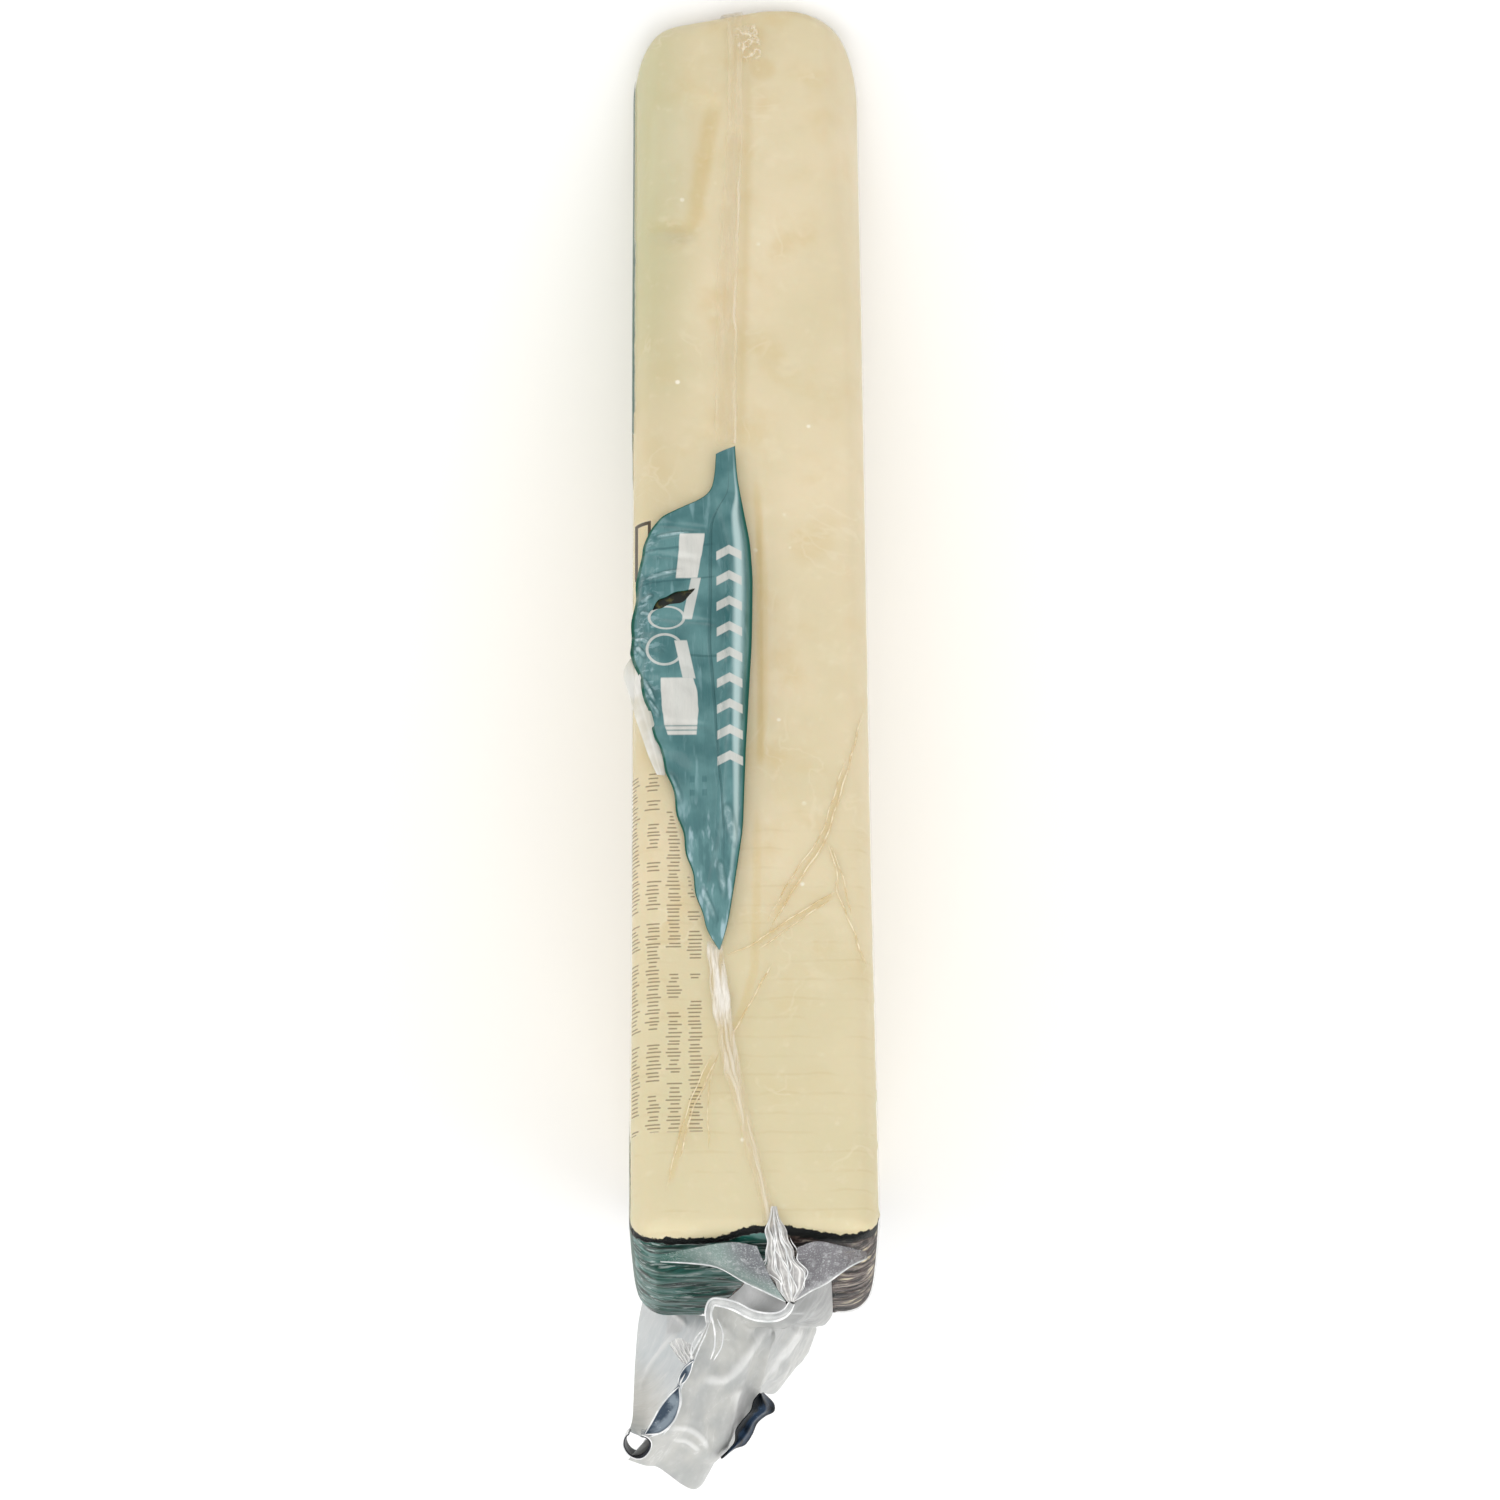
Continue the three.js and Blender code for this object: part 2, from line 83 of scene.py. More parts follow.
offShown = (0, sinWedge, cosWedge)  # the way that the shown cut face looks


# Sums that the shapes share
def smoothStep(value, low, high):
    t = np.clip((np.asarray(value, float) - low) / (high - low), 0, 1)
    return t * t * (3 - 2 * t)


def blend(a, b, share):
    return a + (b - a) * share


smoothing = {"steps": 400, "reach": 2.2}


def smoothThrough(pairs):  # runs from one (place, value) to the next, its corners rounded off
    places, values = zip(*pairs)
    fine = np.linspace(places[0], places[-1], smoothing["steps"])
    plain = np.interp(fine, places, values)
    width = max(3, int(smoothing["steps"] * smoothing["reach"] / (places[-1] - places[0])))
    kernel = np.hanning(2 * width + 1)
    padded = np.pad(plain, width, mode="reflect", reflect_type="odd")
    eased = np.convolve(padded, kernel / kernel.sum(), mode="valid")
    return lambda at: np.interp(at, fine, eased)


def world(x, p, q):
    return np.stack(np.broadcast_arrays(x + originX, originP - p, q), axis=-1) * mm


def onShown(u, x, h):  # a place on the shown cut face, raised by h
    return world(x, u * cosWedge - h * sinWedge, u * sinWedge + h * cosWedge)


def pastRind(degrees, x, reach):
    angle = np.radians(degrees)
    return world(x, (wheelRadius + reach) * np.cos(angle), (wheelRadius + reach) * np.sin(angle))


def fineNoise(points, size, seed=0.0, octaves=3):  # smooth noise, about -1 to 1, by place in metres
    scale = 1 / (size * mm)
    shift = Vector((seed, seed * 1.7, -seed))
    falling, spacing = 0.8, 2.0
    places = (Vector(point) * scale + shift for point in points)
    return np.array([noise.fractal(place, falling, spacing, octaves) for place in places])


def awayFrom(path, u, x):  # distance to a line of (u, x) points, and the share of the way along it
    best = np.full(np.shape(u), 1e9)
    share = np.zeros(np.shape(u))
    steps = len(path) - 1
    for i, ((u0, x0), (u1, x1)) in enumerate(zip(path, path[1:])):
        du, dx = u1 - u0, x1 - x0
        t = np.clip(((u - u0) * du + (x - x0) * dx) / (du * du + dx * dx), 0, 1)
        distance = np.hypot(u - u0 - t * du, x - x0 - t * dx)
        nearer = distance < best
        best = np.where(nearer, distance, best)
        share = np.where(nearer, (i + t) / steps, share)
    return best, share


# The wedge's own surface, as the CAD has it
def furrow(u, x, start, end, width, depth):
    away, _ = awayFrom([start, end], u, x)
    return depth * (1 - smoothStep(away, 0, width))


def shownRelief(u, x):
    waves = 0.14 * np.sin(u / 8.5 + x / 6) * np.cos(x / 5 - u / 21) - 0.1 * np.cos(u / 17)
    flake = furrow(u, x, (17.5, -4), (32, -6.4), 2.6, 0.6)
    flake = flake + furrow(u, x, (32, -6.4), (31, -11.2), 2.2, 0.35)
    return waves - flake - furrow(u, x, (85.5, 4.2), (89, 5.6), 2.4, 0.35)


def rindRelief(angle, x):
    along = angle * wheelRadius
    ripple = 0.2 * np.sin(along / 1.9 + 1.3 * np.sin(x / 4)) * np.cos(x / 9)
    return ripple + 0.12 * np.sin(x / 2.3 + along / 7)


def grooveRelief(x):
    left, right, slope = wedge["grooveLeft"], wedge["grooveRight"], wedge["grooveSlope"]
    pastRight = smoothStep(x, right, right + slope)
    return -wedge["grooveDepth"] * smoothStep(x, left - slope, left) * (1 - pastRight)


def reliefAt(stretch, share, x):
    onFlat = 1 - smoothStep(np.abs(x), flatHalf, halfThick)
    if stretch == "shown":
        ends = smoothStep(share, 0, 0.06) * (1 - smoothStep(share, 0.98, 1))
        return shownRelief(tipTangent + share * faceLength, x) * ends * onFlat
    if stretch == "shownCorner":
        return 0.2 * np.sin(x / 1.7 + np.sin(x / 3)) * np.sin(share * math.pi) * onFlat
    if stretch == "rind":
        ends = smoothStep(share, 0, 0.05) * (1 - smoothStep(share, 0.9, 1))
        return rindRelief(wedge["angle"] * (1 - share), x) * ends * onFlat
    if stretch == "below":
        return grooveRelief(x) * smoothStep(share, 0, 0.03)
    if stretch == "tip":
        return grooveRelief(x) * (1 - smoothStep(share, 0.1, 0.6))
    return np.zeros(np.broadcast(share, x).shape)


quarter = math.pi / 2
corner = wedge["rindCorner"]
straightRuns = {
    "shown": ((tipTangent * cosWedge, tipTangent * sinWedge),
              (cornerReach * cosWedge, cornerReach * sinWedge), (-sinWedge, cosWedge)),
    "below": ((cornerReach, 0), (tipTangent, 0), (0, -1)),
}
roundRuns = {
    "shownCorner": ((cornerReach * cosWedge + corner * sinWedge,
                     cornerReach * sinWedge - corner * cosWedge),
                    corner, wedge["angle"] + quarter, wedge["angle"] - cornerAngle),
    "rind": ((0, 0), wheelRadius, wedge["angle"] - cornerAngle, cornerAngle),
    "lowCorner": ((cornerReach, corner), corner, cornerAngle, -quarter),
    "tip": ((tipTangent, wedge["tipRadius"]), wedge["tipRadius"], -quarter,
            wedge["angle"] + quarter - 2 * math.pi),
}


def tipShift(x):  # seen from above the thin end is rounded and askew
    radius = np.where(x < 0, wedge["leftTipRadius"], wedge["rightTipRadius"])
    past = np.maximum(0, np.abs(x) - (halfThick - radius))
    rounded = radius - np.sqrt(np.maximum(0, radius ** 2 - past ** 2))
    return rounded + wedge["tipSlant"] * np.maximum(0, 2 - x) - wedge["tipReach"]


def packPlace(stretch, share, x, raised=0.0):  # p and q of a place on the wedge's outline
    if stretch in straightRuns:
        start, end, normal = straightRuns[stretch]
        p = blend(start[0], end[0], share)
        q = blend(start[1], end[1], share)
        normalP, normalQ = normal
    else:
        centre, radius, first, last = roundRuns[stretch]
        turn = blend(first, last, share)
        normalP, normalQ = np.cos(turn), np.sin(turn)
        p = centre[0] + radius * normalP
        q = centre[1] + radius * normalQ
    out = raised + reliefAt(stretch, share, x)
    p = p + out * normalP
    q = q + out * normalQ
    nearTip = 1 - smoothStep(p, tipTangent, tipTangent + wedge["tipBlend"])
    return p + tipShift(x) * nearTip, q


def shownHeight(u, x):  # the shown face's own height, with the fall of its rounded long edges
    past = np.clip(np.abs(x) - flatHalf, 0, wedge["edgeRadius"])
    fall = wedge["edgeRadius"] - np.sqrt(wedge["edgeRadius"] ** 2 - past ** 2)
    return reliefAt("shown", (u - tipTangent) / faceLength, x) - fall


# Smooth curves and the films spanned between them
def curvePoints(places, shares):  # a centripetal curve through places round the rind
    points = np.array([pastRind(*place) for place in places]) / mm
    steps = len(points) - 1
    ends = [2 * points[0] - points[1], *points, 2 * points[-1] - points[-2]]
    made = []
    for share in np.clip(shares, 0, 1):
        i = min(int(share * steps), steps - 1)
        t = share * steps - i
        a, b, c, d = ends[i:i + 4]
        gaps = [max(np.linalg.norm(later - now) ** 0.5, 1e-4) for now, later in ((a, b), (b, c), (c, d))]
        pull = ((b - a) / gaps[0] - (c - a) / (gaps[0] + gaps[1]) + (c - b) / gaps[1]) * gaps[1]
        push = ((c - b) / gaps[1] - (d - b) / (gaps[1] + gaps[2]) + (d - c) / gaps[2]) * gaps[1]
        square = -3 * b + 3 * c - 2 * pull - push
        cube = 2 * b - 2 * c + pull + push
        made.append(b + pull * t + square * t * t + cube * t ** 3)
    return np.array(made)


def curveAt(places):  # the same curve, read by the share of its length
    table = curvePoints(places, np.linspace(0, 1, 501))
    steps = np.linalg.norm(np.diff(table, axis=0), axis=1)
    lengths = np.concatenate([[0], np.cumsum(steps)]) / steps.sum()
    return lambda at: np.stack([np.interp(at, lengths, table[:, k]) for k in range(3)], axis=-1)


def spanned(edges):  # root and free run along s, start and end across it
    root, free, start, end = [curveAt(edges[name]) for name in ("root", "free", "start", "end")]

    def middle(s, w):
        early = 1 - (1 - s) ** edges["release"]
        along = blend(root(s ** edges["rootPace"]), free(s), w[..., None])
        across = blend(start(w), end(w), early[..., None])
        atStart = blend(root(np.zeros_like(s)), free(np.zeros_like(s)), w[..., None])
        atEnd = blend(root(np.ones_like(s)), free(np.ones_like(s)), w[..., None])
        return along + across - blend(atStart, atEnd, early[..., None])

    return middle


def facing(middle, s, w, step=0.004):  # the surface's own normal
    along = middle(np.minimum(s + step, 1), w) - middle(np.maximum(s - step, 0), w)
    across = middle(s, np.minimum(w + step, 1)) - middle(s, np.maximum(w - step, 0))
    normal = np.cross(along, across)
    return normal / np.maximum(np.linalg.norm(normal, axis=-1, keepdims=True), 1e-9)


# Work on meshes
def deselectAll():
    if bpy.context.object and bpy.context.object.mode != "OBJECT":
        bpy.ops.object.mode_set(mode="OBJECT")
    bpy.ops.object.select_all(action="DESELECT")


def pickOnly(piece):
    deselectAll()
    piece.hide_viewport = False
    piece.select_set(True)
    bpy.context.view_layer.objects.active = piece


def newSheet(name, columns, rows):  # a flat grid; its s and w are read back from its own places
    deselectAll()
    bpy.ops.mesh.primitive_grid_add(x_subdivisions=columns, y_subdivisions=rows, size=1)
    sheet = bpy.context.object
    sheet.name = name
    sheet.data.name = name
    return sheet


def readPoints(piece):
    flat = np.empty(len(piece.data.vertices) * 3, dtype=np.float32)
    piece.data.vertices.foreach_get("co", flat)
    return flat.reshape(-1, 3).astype(float)


def writePoints(piece, points):
    piece.data.vertices.foreach_set("co", points.astype(np.float32).ravel())
    piece.data.update()


def addValue(piece, name, values):  # one number on each vertex, for the materials to read
    layer = piece.data.attributes.new(name, "FLOAT", "POINT")
    layer.data.foreach_set("value", np.asarray(values, dtype=np.float32))


def shapeSheet(sheet, place):
    grid = readPoints(sheet)
    s, w = grid[:, 0] + 0.5, grid[:, 1] + 0.5
    writePoints(sheet, place(np.clip(s, 0, 1), np.clip(w, 0, 1)))
    return np.clip(s, 0, 1), np.clip(w, 0, 1)


def mergeAndTurnOut(piece, distance=0.01):
    pickOnly(piece)
    bpy.ops.object.mode_set(mode="EDIT")
    bpy.ops.mesh.select_all(action="SELECT")
    bpy.ops.mesh.remove_doubles(threshold=distance * mm)
    bpy.ops.mesh.normals_make_consistent(inside=False)
    bpy.ops.object.mode_set(mode="OBJECT")


def applyModifier(piece, kind, **settings):
    pickOnly(piece)
    modifier = piece.modifiers.new(kind.title(), kind)
    for key, value in settings.items():
        setattr(modifier, key, value)
    bpy.ops.object.modifier_apply(modifier=modifier.name)


def smoothShade(piece, degrees=180):
    pickOnly(piece)
    if degrees >= 180:
        bpy.ops.object.shade_smooth()
    else:
        bpy.ops.object.shade_smooth_by_angle(angle=math.radians(degrees))


def turnOver(piece):
    pickOnly(piece)
    bpy.ops.object.mode_set(mode="EDIT")
    bpy.ops.mesh.select_all(action="SELECT")
    bpy.ops.mesh.flip_normals()
    bpy.ops.object.mode_set(mode="OBJECT")


def faceUpward(piece, direction=offShown):  # an open sheet's faces turn to one side
    normals = sum((face.normal * face.area for face in piece.data.polygons), Vector())
    if normals.dot(Vector(direction)) < 0:
        turnOver(piece)


def asFilm(sheet, thickness, direction=offShown, offset=0, degrees=60):  # a sheet gets its thickness
    faceUpward(sheet, direction)
    applyModifier(sheet, "SOLIDIFY", thickness=thickness * mm, offset=offset)
    smoothShade(sheet, degrees)
    return sheet


def giveMaterial(piece, material):
    piece.data.materials.clear()
    piece.data.materials.append(material)


def settle(piece, material, slotName, *nodes):  # it rides on the pack, and stands for these CAD nodes
    giveMaterial(piece, material)
    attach(piece, "root")
    if nodes:
        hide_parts(*nodes)
    deselectAll()


# Shader maths
class Wire:  # a socket's value; sums on it add their Math nodes
    def __init__(self, finish, socket):
        self.finish = finish
        self.socket = socket

    def sum(self, operation, *others):
        sockets = {0: self, **{i + 1: other for i, other in enumerate(others)}}
        return self.finish.node("ShaderNodeMath", {"operation": operation}, sockets)

    def __add__(self, other):
        return self.sum("ADD", other)

    def __radd__(self, other):
        return self.sum("ADD", other)

    def __sub__(self, other):
        return self.sum("SUBTRACT", other)

    def __rsub__(self, other):
        return (self * -1).sum("ADD", other)

    def __mul__(self, other):
        return self.sum("MULTIPLY", other)

    def __rmul__(self, other):
        return self.sum("MULTIPLY", other)

    def __truediv__(self, other):
        return self.sum("DIVIDE", other)

    def __rtruediv__(self, other):
        return self.sum("POWER", -1.0).sum("MULTIPLY", other)

    def __pow__(self, other):
        return self.sum("POWER", other)

    def __lt__(self, other):
        return self.sum("LESS_THAN", other)

    def __gt__(self, other):
        return self.sum("GREATER_THAN", other)

    def sine(self):
        return self.sum("SINE")

    def size(self):
        return self.sum("ABSOLUTE")

    def whole(self):
        return self.sum("FLOOR")

    def most(self, other):
        return self.sum("MAXIMUM", other)

    def least(self, other):
        return self.sum("MINIMUM", other)

    def held(self):
        return self.most(0.0).least(1.0)

    def rise(self, low, high):  # 0 below low, 1 above high, eased between
        if low > high:
            return 1 - self.rise(high, low)
        settings = {"interpolation_type": "SMOOTHSTEP"}
        sockets = {0: self, 1: low, 2: high, 3: 0.0, 4: 1.0}
        return self.finish.node("ShaderNodeMapRange", settings, sockets)

    def within(self, low, high, edge=0.1):
        return self.rise(low - edge, low + edge) * self.rise(high + edge, high - edge)


# The black skin of the rind sets in at this plane across the shown face, and dips in the middle.
skinLine = {"alongU": 0.906, "alongH": 0.4226, "fall": 0.4, "dip": 1.15, "start": 132.05}


class Finish:  # one material and its nodes
    def __init__(self, name, **constants):
        self.material = bpy.data.materials.new(name)
        self.material.use_nodes = True
        self.tree = self.material.node_tree
        self.tree.nodes.clear()
        self.surface = self.tree.nodes.new("ShaderNodeBsdfPrincipled")
        output = self.tree.nodes.new("ShaderNodeOutputMaterial")
        self.tree.links.new(self.surface.outputs[0], output.inputs[0])
        for socketName, value in constants.items():
            self.surface.inputs[socketName.replace("_", " ")].default_value = value

    def node(self, kind, settings=None, sockets=None, output=0):
        made = self.tree.nodes.new(kind)
        for key, value in (settings or {}).items():
            if key == "stops":
                self.setStops(made.color_ramp, value)
            else:
                setattr(made, key, value)
        for key, value in (sockets or {}).items():
            self.plug(made.inputs[key], value)
        return Wire(self, made.outputs[output])

    def setStops(self, ramp, stops):
        while len(ramp.elements) < len(stops):
            ramp.elements.new(0.5)
        for element, (position, colour) in zip(ramp.elements, stops):
            element.position = position
            element.color = (*colour, 1.0)

    def plug(self, socket, value):
        if isinstance(value, Wire):
            self.tree.links.new(value.socket, socket)
        elif isinstance(value, tuple) and len(value) == 3 and socket.type == "RGBA":
            socket.default_value = (*value, 1.0)
        else:
            socket.default_value = value

    def drive(self, **values):
        for socketName, value in values.items():
            self.plug(self.surface.inputs[socketName.replace("_", " ")], value)

    def places(self):  # x, p and q in millimetres
        own = self.node("ShaderNodeTexCoord", output="Object")
        x, y, z = [self.node("ShaderNodeSeparateXYZ", None, {0: own}, output=k) for k in range(3)]
        return x * 1000 - originX, originP - y * 1000, z * 1000

    def spot(self):  # the same three as one vector
        return self.joined(*self.places())

    def turned(self, p, q):  # u and h, along and off the shown face
        return p * cosWedge + q * sinWedge, q * cosWedge - p * sinWedge

    def edgeFall(self, x):  # how far the rounded long edges fall away
        past = (x.size() - flatHalf).most(0.0).least(wedge["edgeRadius"])
        return wedge["edgeRadius"] - (wedge["edgeRadius"] ** 2 - past * past) ** 0.5

    def skinEdge(self, x, u, h, fall):  # distance past the line where the black skin sets in
        dip = x.rise(-4.6, 0.6) * (1 - x.rise(3.2, 8.5) * 0.8) * skinLine["dip"]
        slant = u * skinLine["alongU"] - h * skinLine["alongH"] + fall * skinLine["fall"]
        return slant + dip - skinLine["start"]

    def joined(self, a, b, c):
        return self.node("ShaderNodeCombineXYZ", None, {0: a, 1: b, 2: c})

    def grain(self, vector, size, detail=3.0, roughness=0.5, distortion=0.0):  # noise, 0 to 1
        sockets = {"Vector": vector, "Scale": 1 / size, "Detail": detail, "Roughness": roughness,
                   "Distortion": distortion}
        return self.node("ShaderNodeTexNoise", {"noise_dimensions": "3D"}, sockets)

    def cells(self, vector, size, feature="F1", output="Distance"):
        sockets = {"Vector": vector, "Scale": 1 / size}
        return self.node("ShaderNodeTexVoronoi", {"feature": feature}, sockets, output=output)

    def chance(self, a, b):  # a random number for each pair of whole numbers
        vector = self.joined(a, b, 0.5)
        return self.node("ShaderNodeTexWhiteNoise", {"noise_dimensions": "3D"}, {"Vector": vector})

    def mix(self, share, first, second, blendType="MIX"):  # colours
        settings = {"data_type": "RGBA", "blend_type": blendType}
        return self.node("ShaderNodeMix", settings, {0: share, 6: first, 7: second}, output=2)

    def ramp(self, value, *stops):
        return self.node("ShaderNodeValToRGB", {"stops": stops}, {0: value})

    def value(self, name):  # a number kept on the mesh
        return self.node("ShaderNodeAttribute", {"attribute_name": name}, output="Fac")

    def bump(self, height, distance, strength=1.0):
        sockets = {"Height": height, "Distance": distance * mm, "Strength": strength}
        self.drive(Normal=self.node("ShaderNodeBump", None, sockets))


filmIndex = 1.49  # clear film's index of refraction


def paint(red, green, blue):  # a colour as seen on screen, 0 to 255
    shares = [c / 255 for c in (red, green, blue)]
    return tuple(((c + 0.055) / 1.055) ** 2.4 if c > 0.04 else c / 12.92 for c in shares)


# Camera, light and floor
view = {
    "place": (0.00022, 0.16668, 0.6283),
    "tilt": 15.0,
    "roll": -0.45,
    "lens": 139.5,
    "shiftY": -0.0627,
}


def setUpView():
    data = bpy.data.cameras.new("camera")
    camera = bpy.data.objects.new("camera", data)
    bpy.context.scene.collection.objects.link(camera)
    camera.location = view["place"]
    tilt = math.radians(view["tilt"])
    back = Vector((0, math.sin(tilt), math.cos(tilt)))
    top = Vector((0, math.cos(tilt), -math.sin(tilt)))
    facingDown = Matrix((Vector((1, 0, 0)), top, back)).transposed()
    camera.rotation_mode = "QUATERNION"
    roll = Quaternion(straightUp, math.radians(view["roll"]))
    camera.rotation_quaternion = facingDown.to_quaternion() @ roll
    data.lens = view["lens"]
    data.sensor_width = 36
    data.shift_y = view["shiftY"]
    data.clip_start = 0.01
    data.clip_end = 10
    bpy.context.scene.camera = camera


studio = {
    "overhead": {"at": (0.05, 0.1, 0.85), "size": 0.9, "watts": 4.0},
    "left": {"at": (-0.75, 0.15, 0.5), "size": 0.6, "watts": 2.6},
    "right": {"at": (0.7, -0.2, 0.55), "size": 0.6, "watts": 2.0},
    "front": {"at": (0.0, -0.75, 0.35), "size": 0.5, "watts": 1.8},
}
room = {
    "strength": 0.5,
    "aim": (0, 0, 0.03),  # where the lamps point
    "floor": (247, 247, 247),
    "floorSize": 4,
    "floorDrop": 0.0003,
}


def setUpLight():
    for name, lamp in studio.items():
        data = bpy.data.lights.new(name + "_light", "AREA")
        data.size = lamp["size"]
        data.energy = lamp["watts"]
        light = bpy.data.objects.new(name + "_light", data)
        bpy.context.scene.collection.objects.link(light)
        light.location = lamp["at"]
        light.rotation_mode = "QUATERNION"
        light.rotation_quaternion = (Vector(lamp["at"]) - Vector(room["aim"])).to_track_quat("Z", "Y")
    sky = bpy.data.worlds.new("studio")
    sky.use_nodes = True
    background = sky.node_tree.nodes["Background"]
    background.inputs["Color"].default_value = (1, 1, 1, 1)
    background.inputs["Strength"].default_value = room["strength"]
    bpy.context.scene.world = sky
    bpy.context.scene.view_settings.view_transform = "Standard"
    bpy.context.scene.cycles.transparent_max_bounces = 32


def layFloor():
    deselectAll()
    bpy.ops.mesh.primitive_plane_add(size=room["floorSize"], location=(0, 0, -room["floorDrop"]))
    floor = bpy.context.object
    floor.name = "floor"
    finish = Finish("floor_paint", Roughness=0.9)
    tone = finish.grain(finish.spot(), 60, 2)
    finish.drive(Base_Color=finish.mix(tone, paint(*room["floor"]), paint(250, 250, 249)))
    giveMaterial(floor, finish.material)
    pickOnly(floor)
    bpy.ops.object.transform_apply(location=True, rotation=False, scale=False)


setUpView()
setUpLight()
layFloor()
print("camera, light and floor")


# The two webs of film that the cheese is packed in
stripRight = smoothThrough([(8, -0.2), (14, -0.2), (41, -1.2), (57.6, -1.3), (115, -3), (125.6, -1.7),
                            (136, 0.3), (143.4, 2.2)])
stripLeft = smoothThrough([(8, -1.7), (14, -1.7), (41, -3.4), (57.6, -3.5), (115, -4.7), (125.6, -3.5),
                           (136, -0.9), (144, 0.9)])
webs = {
    "columns": {"shown": 390, "shownCorner": 8, "rind": 230, "lowCorner": 6, "below": 150, "tip": 24},
    "sideRows": 26,
    "edgeRows": 9,
    "flatRows": 34,
    "frontRind": [(0.6, -1.7), (5, -6), (9, -10.6), (13, -9.4), (17, -7.2), (21, -5.6), (26, -4.5),
                  (29.4, -3.5), (30.7, -2.3), (32.9, -0.9), (34.8, 0.3), (36, 1.4), (39.4, 2.2)],
    "backRind": [(0.6, -1.5), (5, 7), (12, 8), (20, 8.4), (31, 8), (36.7, 7.6), (39.4, 4.2)],
    "belowSeam": -1.7,
    "bulge": 0.25,
    "crumple": 0.05,
    "flare": 0.2,
    "rindWrinkle": 0.17,
}
# Where the film has been drawn into a ridge: (u, x) points, width and height.
creases = [
    ([(97.4, 0.6), (108, 0.5), (117, 0.2), (121, -0.9), (124.5, -2.2)], 0.6, 0.12),
    ([(94.2, 10.0), (103.2, 7.2), (112.5, 1.5)], 0.45, 0.12),
    ([(108.6, 8.7), (111.2, 4.5), (114.9, -0.8)], 0.5, 0.12),
    ([(125.7, -3.6), (131.9, -6.5), (140.2, -8.5)], 0.5, 0.1),
    ([(60, 0.6), (74, 1.5), (88, 1.4), (96, 0.8)], 0.6, 0.1),
]
# Fine ridges where the film is pinched: (u, x) points and radius.
pinches = [
    ([(88.0, 11.6), (94.2, 10.1), (98.4, 8.9), (103.2, 7.4), (107.4, 4.7), (112.8, 1.7)], 0.09),
    ([(94.0, 9.6), (97.4, 8.6), (102.6, 7.0), (106.6, 4.2), (111.6, 1.6)], 0.07),
    ([(102.9, 7.5), (106.2, 8.7), (108.3, 8.4), (112.3, 10.0), (116.5, 11.4)], 0.08),
    ([(103.4, 7.9), (106.4, 9.1), (111.0, 9.9)], 0.06),
    ([(108.4, 8.6), (111.0, 4.5), (114.6, -0.4), (115.4, -2.6)], 0.08),
    ([(109.3, 8.0), (111.8, 4.6), (114.9, 0.6)], 0.06),
    ([(116.4, 1.9), (119.4, 0.4), (122.4, -1.2), (124.2, -2.2)], 0.09),
    ([(125.9, -3.4), (129.2, -4.8), (132.2, -6.2), (137.1, -7.3)], 0.08),
    ([(125.6, -3.9), (130, -5.9), (134, -7.2), (140.4, -8.7)], 0.06),
    ([(127, -4.0), (131.4, -4.6), (136, -4.4)], 0.05),
]


def rindSeam(side, angle):
    return smoothThrough(webs[side + "Rind"])(np.degrees(angle))


def seamAt(side, stretch, share):  # x of the line where a web leaves the cheese
    ones = np.ones_like(share)
    if stretch == "shown":
        return stripRight(tipTangent + share * faceLength)
    if stretch == "shownCorner":
        return blend(float(stripRight(143.4)), webs[side + "Rind"][-1][1], smoothStep(share, 0, 1))
    if stretch == "rind":
        return rindSeam(side, blend(roundRuns["rind"][2], roundRuns["rind"][3], share))
    if stretch == "lowCorner":
        return blend(webs[side + "Rind"][0][1], webs["belowSeam"], share)
    if stretch == "below":
        return webs["belowSeam"] * ones
    return blend(webs["belowSeam"], stripRight(tipTangent), smoothStep(share, 0, 1)) * ones


def webStops():  # every column of a web: its stretch and share
    stops = []
    for stretch, count in webs["columns"].items():
        stops += [(stretch, k / count) for k in range(count)]
    return stops + [("shown", 0.0)]


def atStops(stops, column):  # the stretch and share at each vertex's column
    names, shares = zip(*stops)
    return np.array(names)[column], np.array(shares)[column]


def creaseRise(u, x):
    rise = np.zeros(np.shape(u))
    mark = np.zeros(np.shape(u))
    for path, width, height in creases:
        away, share = awayFrom(path, u, x)
        ends = smoothStep(share, 0, 0.12) * (1 - smoothStep(share, 0.88, 1)) * 0.75 + 0.25
        bell = np.exp(-(away / width) ** 2) * ends
        rise = np.maximum(rise, bell * height)
        mark = np.maximum(mark, bell * 0.6)
    return rise, mark


def rindFolds(along, x):  # fine folds that run across the rind, 0 to 1
    wander = 1.1 * np.sin(x / 3.1 + along / 9) + 0.6 * np.sin(x / 1.3 + along / 4.2 + 1)
    broad = np.abs(np.sin(along / 1.15 + wander)) ** 2.5
    fine = np.abs(np.sin(along / 0.62 + 1.7 * wander + 2)) ** 3
    fade = 0.5 + 0.5 * np.sin(x / 2.6 + along / 2.1)
    return np.clip(broad * (0.35 + 0.65 * fade) + 0.4 * fine * (1 - fade), 0, 1)


